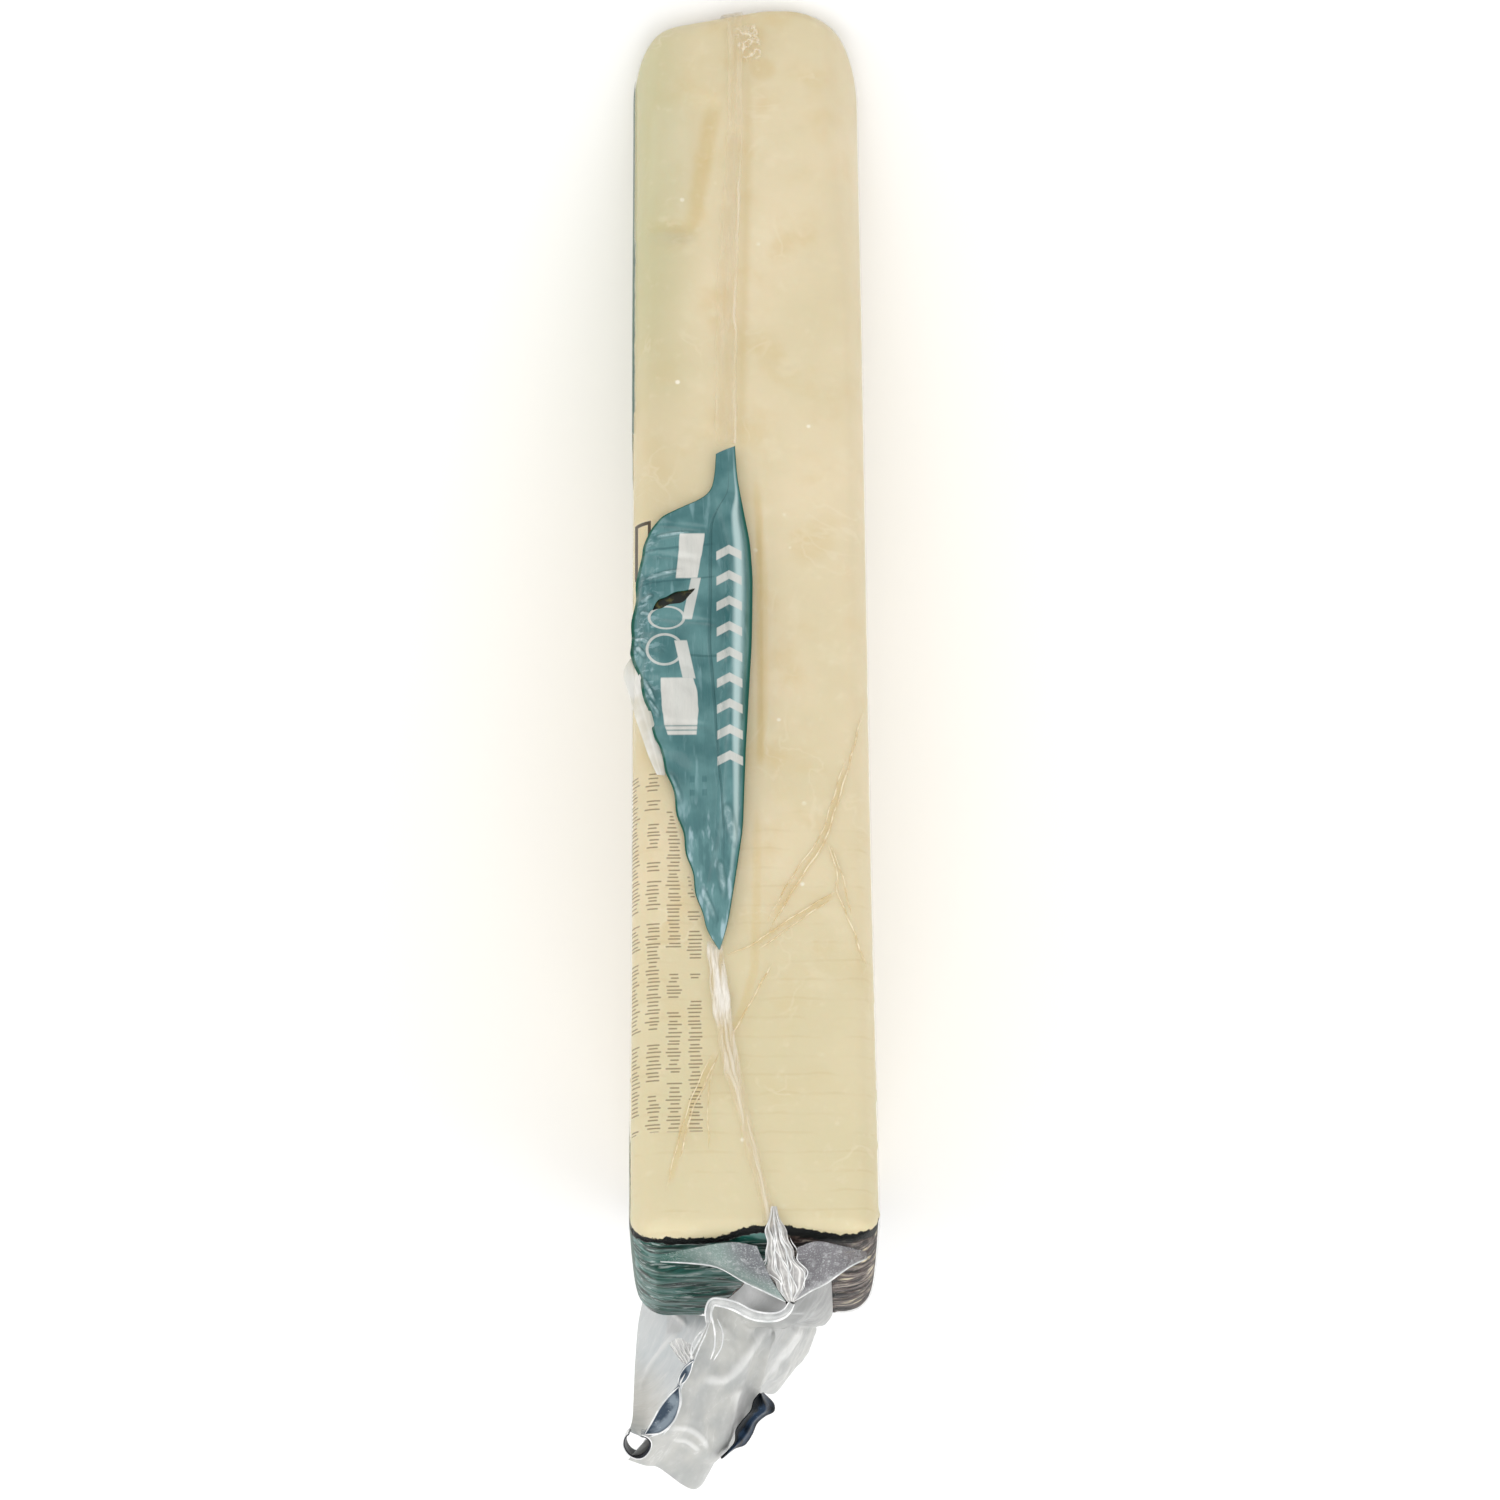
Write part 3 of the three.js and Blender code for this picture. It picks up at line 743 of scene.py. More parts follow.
def webFilm(side):
    sign = -1 if side == "front" else 1
    stops = webStops()
    rowCount = webs["sideRows"] + webs["edgeRows"] + webs["flatRows"]
    sheet = newSheet("film_" + side + "_web", len(stops) - 1, rowCount)
    grid = readPoints(sheet)
    column = np.rint((grid[:, 0] + 0.5) * (len(stops) - 1)).astype(int)
    row = np.rint((grid[:, 1] + 0.5) * rowCount).astype(int)
    centroid = 2 / 3 * wheelRadius * math.sin(wedge["angle"] / 2) / (wedge["angle"] / 2)
    centreP = centroid * math.cos(wedge["angle"] / 2)
    centreQ = centroid * math.sin(wedge["angle"] / 2)
    onSide = row < webs["sideRows"]
    onEdge = (row >= webs["sideRows"]) & (row < webs["sideRows"] + webs["edgeRows"])
    scale = np.where(onSide, np.sin(row / webs["sideRows"] * quarter), 1.0)
    turn = np.clip(1 - (row - webs["sideRows"]) / webs["edgeRows"], 0, 1) * quarter
    across = np.clip((row - webs["sideRows"] - webs["edgeRows"]) / webs["flatRows"], 0, 1)
    inset = np.where(onSide, wedge["edgeRadius"], wedge["edgeRadius"] * (1 - np.cos(turn)))
    points = np.zeros((len(grid), 3))
    creased = np.zeros(len(grid))
    names, shares = atStops(stops, column)
    for stretch in webs["columns"]:
        pick = names == stretch
        share = shares[pick]
        seam = seamAt(side, stretch, share)
        edgeX = sign * (flatHalf + wedge["edgeRadius"] * np.sin(turn[pick]))
        flatX = blend(sign * flatHalf, seam, across[pick])
        x = np.where(onSide[pick], sign * halfThick, np.where(onEdge[pick], edgeX, flatX))
        raised = -inset[pick]
        if stretch == "shown":
            u = tipTangent + share * faceLength
            rise, mark = creaseRise(u, x)
            raised = raised + np.where(onSide[pick], 0, rise)
            creased[pick] = np.where(onSide[pick], 0, mark)
        if stretch == "rind":
            ends = (1 - smoothStep(share, 0.95, 1)) * smoothStep(share, 0, 0.02)
            fold = rindFolds(share * rindLength, x) * ends
            raised = raised + np.where(onSide[pick], 0, fold * webs["rindWrinkle"])
            creased[pick] = np.where(onSide[pick], 0, fold)
        p, q = packPlace(stretch, share, x, raised)
        p = centreP + (p - centreP) * scale[pick]
        q = centreQ + (q - centreQ) * scale[pick]
        x = x + sign * webs["bulge"] * (1 - scale[pick] ** 2)
        x = x + sign * webs["flare"] * smoothStep(np.hypot(p, q), 95, 140) * smoothStep(np.abs(x), 8, 12)
        points[pick] = world(x, p, q)
    ruffle = fineNoise(points, 5.5, 3.0 if sign < 0 else 8.0, 2) * webs["crumple"] - 0.03
    points[:, 0] += np.where(onSide, sign * ruffle, 0.0) * mm
    writePoints(sheet, points)
    addValue(sheet, "crease", creased)
    mergeAndTurnOut(sheet, 0.004)
    faceOutward(sheet, sign)
    smoothShade(sheet)
    return sheet


def faceOutward(sheet, sign):  # the broad side's faces look outwards, so the whole web does
    inward = sum(face.area for face in sheet.data.polygons if face.normal.x * sign < -0.7)
    outward = sum(face.area for face in sheet.data.polygons if face.normal.x * sign > 0.7)
    if inward > outward:
        turnOver(sheet)


def webFinish(side):
    finish = Finish("film_" + side + "_print", Roughness=0.3, IOR=filmIndex, Specular_IOR_Level=0.03,
                    Coat_Roughness=0.16)
    x, p, q = finish.places()
    u, h = finish.turned(p, q)
    fall = finish.edgeFall(x)
    reach = (p * p + q * q) ** 0.5 - wheelRadius + fall
    place = finish.joined(x, u, h)
    soft = finish.grain(place, 9, 3)
    small = finish.grain(place, 1.6, 4)
    ragged = finish.grain(finish.joined(x * 0.7, u, h), 0.9, 3)
    onRind = (reach + (soft - 0.5) * 0.5).rise(-1.2, -1.0)
    onRind = onRind * (finish.skinEdge(x, u, h, fall) + (ragged - 0.5) * 0.9).rise(0.3, 0.42)
    nearSkin = (reach + 1.4).rise(0.0, 0.2) * finish.skinEdge(x, u, h, fall).rise(-0.7, -0.4)
    crease = finish.value("crease")
    clearTone = finish.mix(soft, paint(226, 222, 204), paint(240, 238, 230))
    alpha = 0.03 + small * 0.05 + crease.rise(0.0, 0.7) * (0.2 - nearSkin * 0.05)
    alpha = alpha * (1 - nearSkin * 0.6)
    # ochre along the creases is painted shade beside the film's ridges
    colour = finish.mix(crease.rise(0.1, 0.5), clearTone, paint(212, 186, 132))
    colour = finish.mix(nearSkin, colour, paint(176, 176, 174))
    if side == "front":
        colour, alpha = frontPrint(finish, x, u, h, reach, onRind, soft, small, colour, alpha)
    else:
        colour, alpha = backPrint(finish, x, u, h, soft, colour, alpha)
    coat = (0.8 - nearSkin * 0.74) * (1 - x.size().rise(11.6, 12.1) * 0.65)
    finish.drive(Base_Color=colour, Alpha=alpha.held(), Coat_Weight=coat)
    finish.bump(small * 0.6 + soft, 0.12, 0.4)
    return finish.material


def printOver(finish, colour, alpha, mask, ink, cover):
    return finish.mix(mask, colour, ink), alpha + (cover - alpha) * mask


def greeked(finish, along, line, gap, letter, seed, tall=0.26):  # ticks in place of words: 1 on ink
    row = (line / gap).whole()
    cell = (along / letter).whole()
    word = finish.chance((cell / 2.6).whole() + seed, row) > 0.13
    size = tall * (0.62 + finish.chance(cell + seed + 91, row) * 0.5)
    jitter = (finish.chance(cell + seed + 17, row) - 0.5) * 0.12
    inRow = (size - (line / gap - row - 0.5 + jitter).size()) * 16
    sway = (finish.chance(cell + seed + 37, row) - 0.5) * 0.3
    stroke = (along / letter - cell - 0.5 - sway).size().rise(0.25, 0.15)
    return inRow.held() * word * stroke


def greenWithGlintStreaks(finish, x, u, h):  # dark print, with pale streaks of painted highlight where the film is wrinkled over the rind
    broad = finish.grain(finish.joined(x * 0.34, u * 1.1, h * 1.1), 2.6, 4, 0.62, 0.8)
    thin = finish.grain(finish.joined(x * 0.4, u * 2.0, h * 2.0), 1.2, 4, 0.65, 0.6)
    tone = finish.mix(broad.rise(0.4, 0.55), paint(2, 40, 32), paint(34, 98, 86))
    tone = finish.mix(broad.rise(0.51, 0.62) * 0.9, tone, paint(108, 146, 140))
    return finish.mix(thin.rise(0.54, 0.66) * 0.85, tone, paint(194, 206, 203))


def panel(along, up, halfLength, halfHeight, edge=0.2):  # 1 inside a rectangle
    inLength = along.size().rise(halfLength, halfLength - edge)
    return inLength * up.size().rise(halfHeight, halfHeight - edge)


def frontPrint(finish, x, u, h, reach, onRind, soft, small, colour, alpha):
    wander = (soft - 0.5) * 3
    onSide = x.rise(-11.9, -12.05)
    darkGreen = finish.mix(small, paint(14, 62, 50), paint(40, 92, 78))
    # green field at the thin end, as far as the rounded edge
    endField = (u + wander * 0.4).rise(53.5, 53.1)
    pastEdge = (x + (small - 0.5) * 0.3).rise(-11.75, -12.0)
    sideField = (reach + wheelRadius - 3 + (h + 30) * 0.25).rise(62, 61.6)
    shownField = endField * pastEdge * h.rise(-3.4, -3.0)
    colour, alpha = printOver(finish, colour, alpha, shownField, darkGreen, 0.93)
    colour, alpha = printOver(finish, colour, alpha, onSide * sideField, darkGreen, 0.96)
    # plain plate with a border on the broad side
    along, up = u - 93, h + 31
    inPlate = panel(along, up, 26, 15.2)
    plate = finish.mix(soft, paint(236, 232, 218), paint(228, 224, 208))
    plate = finish.mix(panel(along, up, 25.2, 14.4), paint(34, 84, 74), plate)
    colour, alpha = printOver(finish, colour, alpha, onSide * inPlate, plate, 0.98)
    bars = greeked(finish, along, up + 60, 3.6, 1.9, 4, 0.2) * panel(along, up, 19, 9.2)
    colour, alpha = printOver(finish, colour, alpha, onSide * inPlate * bars, paint(92, 110, 96), 0.98)
    # green field over the rind
    rindField = onRind.most(onSide * reach.rise(-11, -10.5) * h.rise(-4.4, -5.2))
    overRind = finish.mix(onSide, greenWithGlintStreaks(finish, x, u, h), darkGreen)
    colour, alpha = printOver(finish, colour, alpha, rindField, overRind, 0.93)
    # strokes in the place of the words on the shown face, and a bare badge frame
    beside = (x + 8.6 - (u - 95.7) * 0.245).rise(-0.2, -0.5)
    textZone = u.within(95.35, 134.2) * x.within(-12.08, -5.0, 0.04) * h.rise(-2.7, -2.3) * beside
    words = greeked(finish, u, x + 53.0, 2.1, 0.42, 11, 0.36) * textZone
    ink = finish.mix(small, paint(104, 84, 58), paint(126, 108, 80))
    colour, alpha = printOver(finish, colour, alpha, words, ink, 0.72)
    badgeU, badgeX = (u - 70).size(), (x + 11.0).size()
    frameMask = badgeU.rise(3.3, 3.15) * badgeX.rise(0.9, 0.8)
    frameMask = frameMask * (1 - badgeU.rise(2.85, 2.7) * badgeX.rise(0.55, 0.45))
    frameMask = frameMask * h.rise(-2.7, -2.3)
    return printOver(finish, colour, alpha, frameMask, paint(52, 44, 36), 0.92)


def backPrint(finish, x, u, h, soft, colour, alpha):
    onSide = x.rise(11.9, 12.05)
    along, up = u - 96, h + 33
    inLabel = panel(along, up, 20, 13)
    paper = finish.mix(soft, paint(240, 239, 234), paint(247, 246, 243))
    colour, alpha = printOver(finish, colour, alpha, onSide * inLabel, paper, 0.99)
    bars = greeked(finish, along, up + 60, 2.9, 1.5, 23, 0.2) * panel(along, up, 16, 9.4)
    return printOver(finish, colour, alpha, onSide * inLabel * bars, paint(84, 86, 88), 0.99)


frontWeb = webFilm("front")
backWeb = webFilm("back")
frontFilm = webFinish("front")
backFilm = webFinish("back")
for web in (frontWeb, backWeb):  # clinging film shades nothing, and this saves a third of the render
    web.visible_shadow = False
    web.visible_diffuse = False
print("film webs:", len(frontWeb.data.polygons), len(backWeb.data.polygons), "faces")


# The cheese
cheese = {
    "sides": 360,
    "bevel": 2.2,
    "voxel": 0.62,
    "underFilm": 0.14,
    "pits": 0.05,
}


def wedgeOfCheese():
    deselectAll()
    bpy.ops.mesh.primitive_cylinder_add(
        vertices=cheese["sides"], radius=(wheelRadius + 0.1) * mm,
        depth=(wedge["thickness"] + 0.2) * mm, end_fill_type="NGON",
        location=(originX * mm, originP * mm, 0), rotation=(0, quarter, 0))
    piece = bpy.context.object
    piece.name = "cheese"
    bpy.ops.object.transform_apply(location=True, rotation=True, scale=True)
    bpy.ops.object.mode_set(mode="EDIT")
    cuts = [((0, 0, 1), (0, 0, 0.0003)), ((0, -sinWedge, -cosWedge), (0, originP * mm, -0.0004))]
    for normal, place in cuts:
        bpy.ops.mesh.select_all(action="SELECT")
        bpy.ops.mesh.bisect(plane_co=place, plane_no=normal, use_fill=True, clear_inner=True)
    bpy.ops.mesh.select_all(action="SELECT")
    bpy.ops.mesh.normals_make_consistent(inside=False)
    bpy.ops.object.mode_set(mode="OBJECT")
    applyModifier(piece, "BEVEL", width=cheese["bevel"] * mm, segments=4, limit_method="ANGLE",
                  angle_limit=math.radians(35))
    applyModifier(piece, "REMESH", mode="VOXEL", voxel_size=cheese["voxel"] * mm)
    return piece


def fitUnderFilm(piece):
    deselectAll()
    frontWeb.select_set(True)
    backWeb.select_set(True)
    bpy.context.view_layer.objects.active = frontWeb
    bpy.ops.object.duplicate()
    mould = bpy.context.object
    bpy.ops.object.join()
    mould.name = "mould"
    applyModifier(piece, "SHRINKWRAP", target=mould, wrap_method="NEAREST_SURFACEPOINT",
                  wrap_mode="INSIDE", offset=cheese["underFilm"] * mm)
    bpy.data.objects.remove(mould, do_unlink=True)
    applyModifier(piece, "SMOOTH", factor=0.5, iterations=2)
    points = readPoints(piece)
    normals = np.array([vertex.normal for vertex in piece.data.vertices])
    pits = np.minimum(0, fineNoise(points, 2.6, 5.0, 2) + 0.25) * cheese["pits"]
    writePoints(piece, points + normals * pits[:, None] * mm)
    smoothShade(piece)


def cheeseFinish():
    finish = Finish("cheese_paste", Coat_Roughness=0.24, Specular_IOR_Level=0.1,
                    Subsurface_Weight=0.12, Subsurface_Scale=0.002)
    x, p, q = finish.places()
    u, h = finish.turned(p, q)
    fall = finish.edgeFall(x)
    place = finish.joined(x, u, h)
    broad = finish.grain(place, 22, 3)
    middle = finish.grain(place, 6, 4)
    fine = finish.grain(place, 1.1, 4, 0.6)
    body = finish.mix(broad.rise(0.36, 0.64), paint(216, 202, 164), paint(227, 211, 176))
    body = finish.mix(middle.rise(0.48, 0.75) * 0.55, body, paint(213, 189, 138))
    body = finish.mix(finish.grain(place, 4.2, 3).rise(0.55, 0.75) * 0.4, body, paint(233, 221, 190))
    body = finish.mix(u.rise(95, 140) * 0.75, body, paint(211, 200, 161))
    body = finish.mix(x.rise(-4, -10) * 0.5 * u.rise(110, 90), body, paint(203, 189, 150))
    body = finish.mix(x.rise(6, 11) * 0.3 * u.rise(112, 88), body, paint(226, 209, 176))
    onShown = h.rise(-2.0, -1.2)
    # painted ochre shadow beside the strip and the tab, round the flake and at the thin end; green from
    # the print on the left
    paintedShadow = (x - 0.35 + (u - 14) * 0.026).size().rise(0.9, 0.0) * u.within(14, 58, 6) * 0.6
    paintedShadow = paintedShadow.most((x - 1.0).size().rise(0.55, 0.1) * u.within(67, 93, 4))
    paintedShadow = paintedShadow.most((x + 4.6 + (u - 24) * 0.16).size().rise(1.5, 0.3) * u.within(17, 32, 2))
    paintedShadow = paintedShadow.most((u - 31.6).size().rise(1.2, 0.2) * x.within(-10.5, -6, 1) * 0.7)
    paintedShadow = paintedShadow.most(((u - 12.6) * (u - 12.6) + (x - 1.8) * (x - 1.8)).rise(3.6, 0.2) * 0.75)
    paintedShadow = paintedShadow.most(u.rise(22, 6) * x.within(-6, 8, 3) * middle.rise(0.4, 0.6) * 0.6)
    body = finish.mix(paintedShadow * onShown * 0.55, body, paint(204, 178, 120))
    pale = x.within(-10.6, -6.0, 0.7) * u.within(17, 30.5, 1.5) * middle.rise(0.35, 0.6)
    body = finish.mix(pale * onShown * 0.4, body, paint(226, 218, 190))
    greenTint = x.rise(-4, -11.5) * u.rise(60, 36) * 0.6
    body = finish.mix(greenTint, body, paint(184, 184, 140))
    # cut marks across the shown face
    bands = (u * 3.1 + (middle - 0.5) * 5).sine().rise(0.82, 1.0)
    bands = bands * u.rise(96, 104) * middle.rise(0.4, 0.6)
    body = finish.mix(bands * onShown * 0.2, body, paint(196, 174, 128))
    wrinkles = (finish.grain(place, 7, 3, 0.55, 0.6) - 0.5).size().rise(0.02, 0.0)
    wrinkles = wrinkles * finish.grain(place, 12, 2).rise(0.48, 0.62)
    body = finish.mix(wrinkles * onShown * 0.2, body, paint(240, 230, 204))
    specks = finish.cells(place, 3.4).rise(0.10, 0.04) * finish.grain(place, 5, 2).rise(0.5, 0.62)
    body = finish.mix(specks * 0.85, body, paint(246, 241, 224))
    body = finish.mix(fine.rise(0.55, 0.8) * 0.25, body, paint(236, 226, 198))
    # the rind: a black skin with a ragged inner edge, worn brown and grey outside
    reach = (p * p + q * q) ** 0.5 - wheelRadius + fall
    ragged = finish.grain(finish.joined(x * 1.1, u * 0.6, h * 0.8), 1.0, 4, 0.65)
    inside = finish.skinEdge(x, u, h, fall) + (ragged - 0.5) * 1.2
    skin = inside.rise(-0.42, -0.3) * (reach + (ragged - 0.5) * 0.8).rise(-1.5, -1.35)
    streak = finish.grain(finish.joined(x * 0.45, p * 1.6, q * 1.6), 1.9, 5, 0.68, 0.5)
    rind = finish.ramp(streak, (0.4, paint(10, 12, 12)), (0.47, paint(40, 31, 28)),
                       (0.52, paint(78, 64, 58)), (0.58, paint(120, 110, 105)),
                       (0.68, paint(204, 193, 170)))
    spots = finish.cells(finish.joined(x * 0.7, p * 1.4, q * 1.4), 2.4).rise(0.34, 0.16) * x.rise(7, 9)
    rind = finish.mix(spots * streak.rise(0.42, 0.56), rind, paint(216, 205, 172))
    rind = finish.mix(inside.rise(0.75, 0.45), rind, paint(8, 12, 12))
    # a painted shadow of the clinging film darkens the cheese all over, since the film casts none
    paintedFilmShadow = paint(249, 249, 249)
    body = finish.mix(1.0, finish.mix(skin, body, rind), paintedFilmShadow, "MULTIPLY")
    finish.drive(Base_Color=body, Roughness=0.42 + fine * 0.25, Coat_Weight=0.3 - skin * 0.3)
    finish.bump(fine * 0.5 + middle + streak * skin, 0.25, 0.38)
    return finish.material


cheeseWedge = wedgeOfCheese()
fitUnderFilm(cheeseWedge)
settle(cheeseWedge, cheeseFinish(), "cheese", "wrapped_cheese")
settle(frontWeb, frontFilm, "clear_film")
settle(backWeb, backFilm, "clear_film")
print("cheese:", len(cheeseWedge.data.polygons), "faces")


# The folded strip of the welded rim
strip = {
    "rise": 0.1,
    "thickness": 0.08,
    # each crest: its share across at the first end and at the last, width, height
    "upper": {"name": "strip_upper", "first": 19.6, "last": 58,
              "crests": [(0.35, 0.4, 0.28, 0.07), (0.93, 0.93, 0.07, 0.28)]},
    "lower": {"name": "strip_lower", "first": 113.6, "last": 143.7,
              "crests": [(0.1, 0.34, 0.1, 0.16), (0.32, 0.46, 0.15, 0.28), (0.56, 0.56, 0.12, 0.32),
                         (0.8, 0.66, 0.14, 0.24)]},
}


def pleat(w, count, phase):
    return np.abs(np.sin(math.pi * (count * w + phase))) ** 0.7


def crestsAt(u, w, run):  # height of the folds across the strip, and how pale they are
    share = (u - run["first"]) / (run["last"] - run["first"])
    height = np.zeros(np.shape(u))
    mark = np.zeros(np.shape(u))
    for k, (start, end, width, tall) in enumerate(run["crests"]):
        centre = blend(start, end, share) + 0.03 * np.sin(u / 1.9 + 2 * k) + 0.02 * np.sin(u / 0.8 + k)
        fade = 0.72 + 0.28 * np.sin(u / 2.3 + 1.7 * k)
        bell = np.exp(-((w - centre) / width) ** 2) * fade
        height = np.maximum(height, bell * tall)
        mark = np.maximum(mark, bell * tall / 0.36)
    return height, np.clip(mark, 0, 1)


def faceStrip(run):
    first, last = run["first"], run["last"]
    sheet = newSheet(run["name"], int((last - first) / 0.2), 60)

    def place(s, w):
        u = blend(first, last, s)
        edge = 0.1 * np.sin(u / 1.3 + 4 * w) + 0.06 * np.sin(u / 0.5)
        x = blend(stripLeft(u) + edge, stripRight(u) + 0.1 + edge * 0.4, w)
        height, _ = crestsAt(u, w, run)
        ends = smoothStep(s, 0, 0.1) * (1 - smoothStep(s, 0.9, 1)) * 0.9 + 0.1
        return onShown(u, x, shownHeight(u, x) + strip["rise"] + height * ends)

    s, w = shapeSheet(sheet, place)
    _, mark = crestsAt(blend(first, last, s), w, run)
    addValue(sheet, "ridge", mark)
    inside = smoothStep(w, 0, 0.12) * (1 - smoothStep(w, 0.9, 1) * 0.6) * smoothStep(s, 0, 0.05)
    addValue(sheet, "inside", inside)
    return asFilm(sheet, strip["thickness"], degrees=50)


def endStrip():
    stops = [("shown", (u - tipTangent) / faceLength) for u in np.linspace(21.2, tipTangent, 40)]
    stops += [("tip", share) for share in np.linspace(1, 0, 40)]
    stops += [("below", share) for share in np.linspace(1, 0.03, 220)]
    sheet = newSheet("strip_end", len(stops) - 1, 16)

    def place(s, w):
        column = np.rint(s * (len(stops) - 1)).astype(int)
        inGroove = smoothStep(s, 0.14, 0.27)
        left = blend(-1.9, wedge["grooveLeft"] + 0.4, inGroove)
        right = blend(-0.35, wedge["grooveRight"] - 0.4, inGroove)
        x = blend(left, right, w) + 0.08 * np.sin(s * 90)
        points = np.zeros((len(s), 3))
        names, shares = atStops(stops, column)
        raised = 0.2 + 0.06 * pleat(w + 0.05 * np.sin(s * 40), 2, 0.0)
        for stretch in ("shown", "tip", "below"):
            pick = names == stretch
            p, q = packPlace(stretch, shares[pick], x[pick], raised[pick])
            points[pick] = world(x[pick], p, q)
        return points

    s, w = shapeSheet(sheet, place)
    addValue(sheet, "ridge", pleat(w + 0.05 * np.sin(s * 40), 2, 0.0) * 0.2)
    addValue(sheet, "inside", smoothStep(s, 0, 0.012))
    mergeAndTurnOut(sheet, 0.001)
    applyModifier(sheet, "SOLIDIFY", thickness=strip["thickness"] * mm, offset=0)
    smoothShade(sheet, 50)
    return sheet


def stripFinish():
    finish = Finish("film_folded", Roughness=0.24, IOR=filmIndex, Specular_IOR_Level=0.4)
    x, p, q = finish.places()
    u, h = finish.turned(p, q)
    ridge = finish.value("ridge")
    inside = finish.value("inside")
    streak = finish.grain(finish.joined(x * 2.6, u * 0.3, h), 1.6, 4, 0.6)
    tone = finish.mix(streak.rise(0.35, 0.6), paint(222, 204, 166), paint(229, 216, 188))
    tone = finish.mix(ridge.rise(0.15, 0.8) * 0.8, tone, paint(240, 232, 214))
    whitened = u.rise(131, 122) * u.rise(60, 110)
    tone = finish.mix(whitened * streak.rise(0.32, 0.6) * 0.85, tone, paint(244, 240, 232))
    alpha = 0.1 + ridge * 0.42 + streak.rise(0.5, 0.7) * 0.12 + whitened * streak.rise(0.3, 0.62) * 0.5
    finish.drive(Base_Color=tone, Alpha=(alpha * inside).held())
    finish.bump(streak, 0.1, 0.3)
    return finish.material


foldedFilm = stripFinish()
for end in ("upper", "lower"):
    piece = faceStrip(strip[end])
    settle(piece, foldedFilm, "clear_film", "rim_strip_" + end)
stripOverEnd = endStrip()
settle(stripOverEnd, foldedFilm, "clear_film", "rim_strip_end")

# A small crumple of film where the strip turns over the thin end.
endFold = {"uFirst": 8.0, "uLast": 12.9, "left": [-1.4, 0.2], "right": [1.1, 1.6], "height": 0.5,
           "thickness": 0.06}


def endCrumple():
    sheet = newSheet("strip_crumple", 90, 60)

    def place(s, w):
        u = blend(endFold["uFirst"], endFold["uLast"], s)
        narrow = np.sin(math.pi * np.clip(0.12 + 0.8 * s, 0, 1)) * 0.35 + 0.12 * np.sin(u * 4.3)
        left = blend(endFold["left"][0], endFold["left"][1], s) - narrow
        right = blend(endFold["right"][0], endFold["right"][1], s) + narrow
        x = blend(left, right, w)
        flat = onShown(u, x, 0.0)
        folds = np.abs(fineNoise(flat, 1.5, 4.0, 2)) * 1.3 + 0.4 * np.abs(np.sin(2.4 * x + 1.6 * u))
        lift = 0.12 + endFold["height"] * folds * np.sin(math.pi * np.clip(w, 0.06, 0.94))
        p, q = packPlace("shown", (u - tipTangent) / faceLength, x, lift)
        return world(x, p, q)

    s, w = shapeSheet(sheet, place)
    tight = np.abs(fineNoise(readPoints(sheet), 0.9, 7.0, 2))
    border = np.minimum(np.minimum(s, 1 - s), np.minimum(w, 1 - w))
    addValue(sheet, "ridge", np.clip(1 - tight * 3.5, 0, 1) * 0.9)
    addValue(sheet, "inside", smoothStep(border, 0, 0.14))
    return asFilm(sheet, endFold["thickness"])


crumpledEnd = endCrumple()
settle(crumpledEnd, foldedFilm, "clear_film")
print("strips")


# The printed tab
tab = {
    "start": 58.6,
    "end": 115.0,
    "rollWidth": 2.8,
    "rollHeight": 1.9,
    "thickness": 0.16,
    "undersideAndShade": {"start": 70, "end": 84, "thickness": 0.06},
    "slit": {"u": 76.1, "x": -7.8, "length": 5.0, "width": 0.62, "turn": -26},
    "folds": [(68.6, 0.35), (72.2, 0.3), (79.3, 0.22), (91.0, 0.18)],  # place and depth
    # sharp pleats in the drawn film: two ends, width and height
    "pleats": [
        ((76.4, -11.5), (75.5, -9.8), 0.2, 0.3), ((77.2, -11.4), (77.9, -9.9), 0.18, 0.26),
        ((79.9, -12.2), (81.3, -10.1), 0.2, 0.34), ((80.8, -11.9), (83.0, -10.4), 0.18, 0.3),
        ((84.6, -11.2), (88.2, -9.4), 0.22, 0.26), ((87.2, -10.4), (89.6, -9.2), 0.18, 0.2),
        ((69.2, -10.1), (68.4, -5.2), 0.2, 0.24), ((73.9, -11.2), (72.6, -6.2), 0.2, 0.26),
        ((95.3, -8.3), (99.4, -7.0), 0.34, 0.18), ((99.2, -2.6), (104.6, -1.6), 0.44, 0.26),
        ((105.2, -3.3), (109.9, -2.6), 0.34, 0.22), ((107.8, -5.1), (112.8, -3.4), 0.28, 0.2),
    ],
}
tabLeft = smoothThrough([
    (58.4, -3.3), (59.5, -3.4), (62.0, -3.5), (64.2, -4.0), (65.2, -5.6), (65.9, -8.0), (67.3, -9.9),
    (69.5, -10.75), (71.2, -11.3), (73.5, -11.6), (76.3, -11.9), (81.1, -12.4), (84.0, -11.6),
    (91.6, -9.75), (96.8, -8.15), (105.9, -6.2), (111.9, -4.9), (114.0, -3.9), (115.1, -3.4)])
tabRight = smoothThrough([
    (58.4, -1.4), (62.2, -1.2), (66.5, -0.5), (69.9, 0.1), (74.1, 0.35), (81.4, 0.2), (87.4, -0.15),
    (93.3, -0.5), (102.0, -0.85), (106.4, -1.5), (112.1, -2.4), (114.0, -2.9), (115.1, -3.3)])


def tabPleats(u, x):
    rise = np.zeros_like(u)
    for start, end, width, height in tab["pleats"]:
        away, share = awayFrom([start, end], u, x)
        taper = smoothStep(share, 0, 0.25) * (1 - smoothStep(share, 0.6, 1))
        rise = np.maximum(rise, height * np.exp(-(away / width) ** 2) * taper)
    return rise


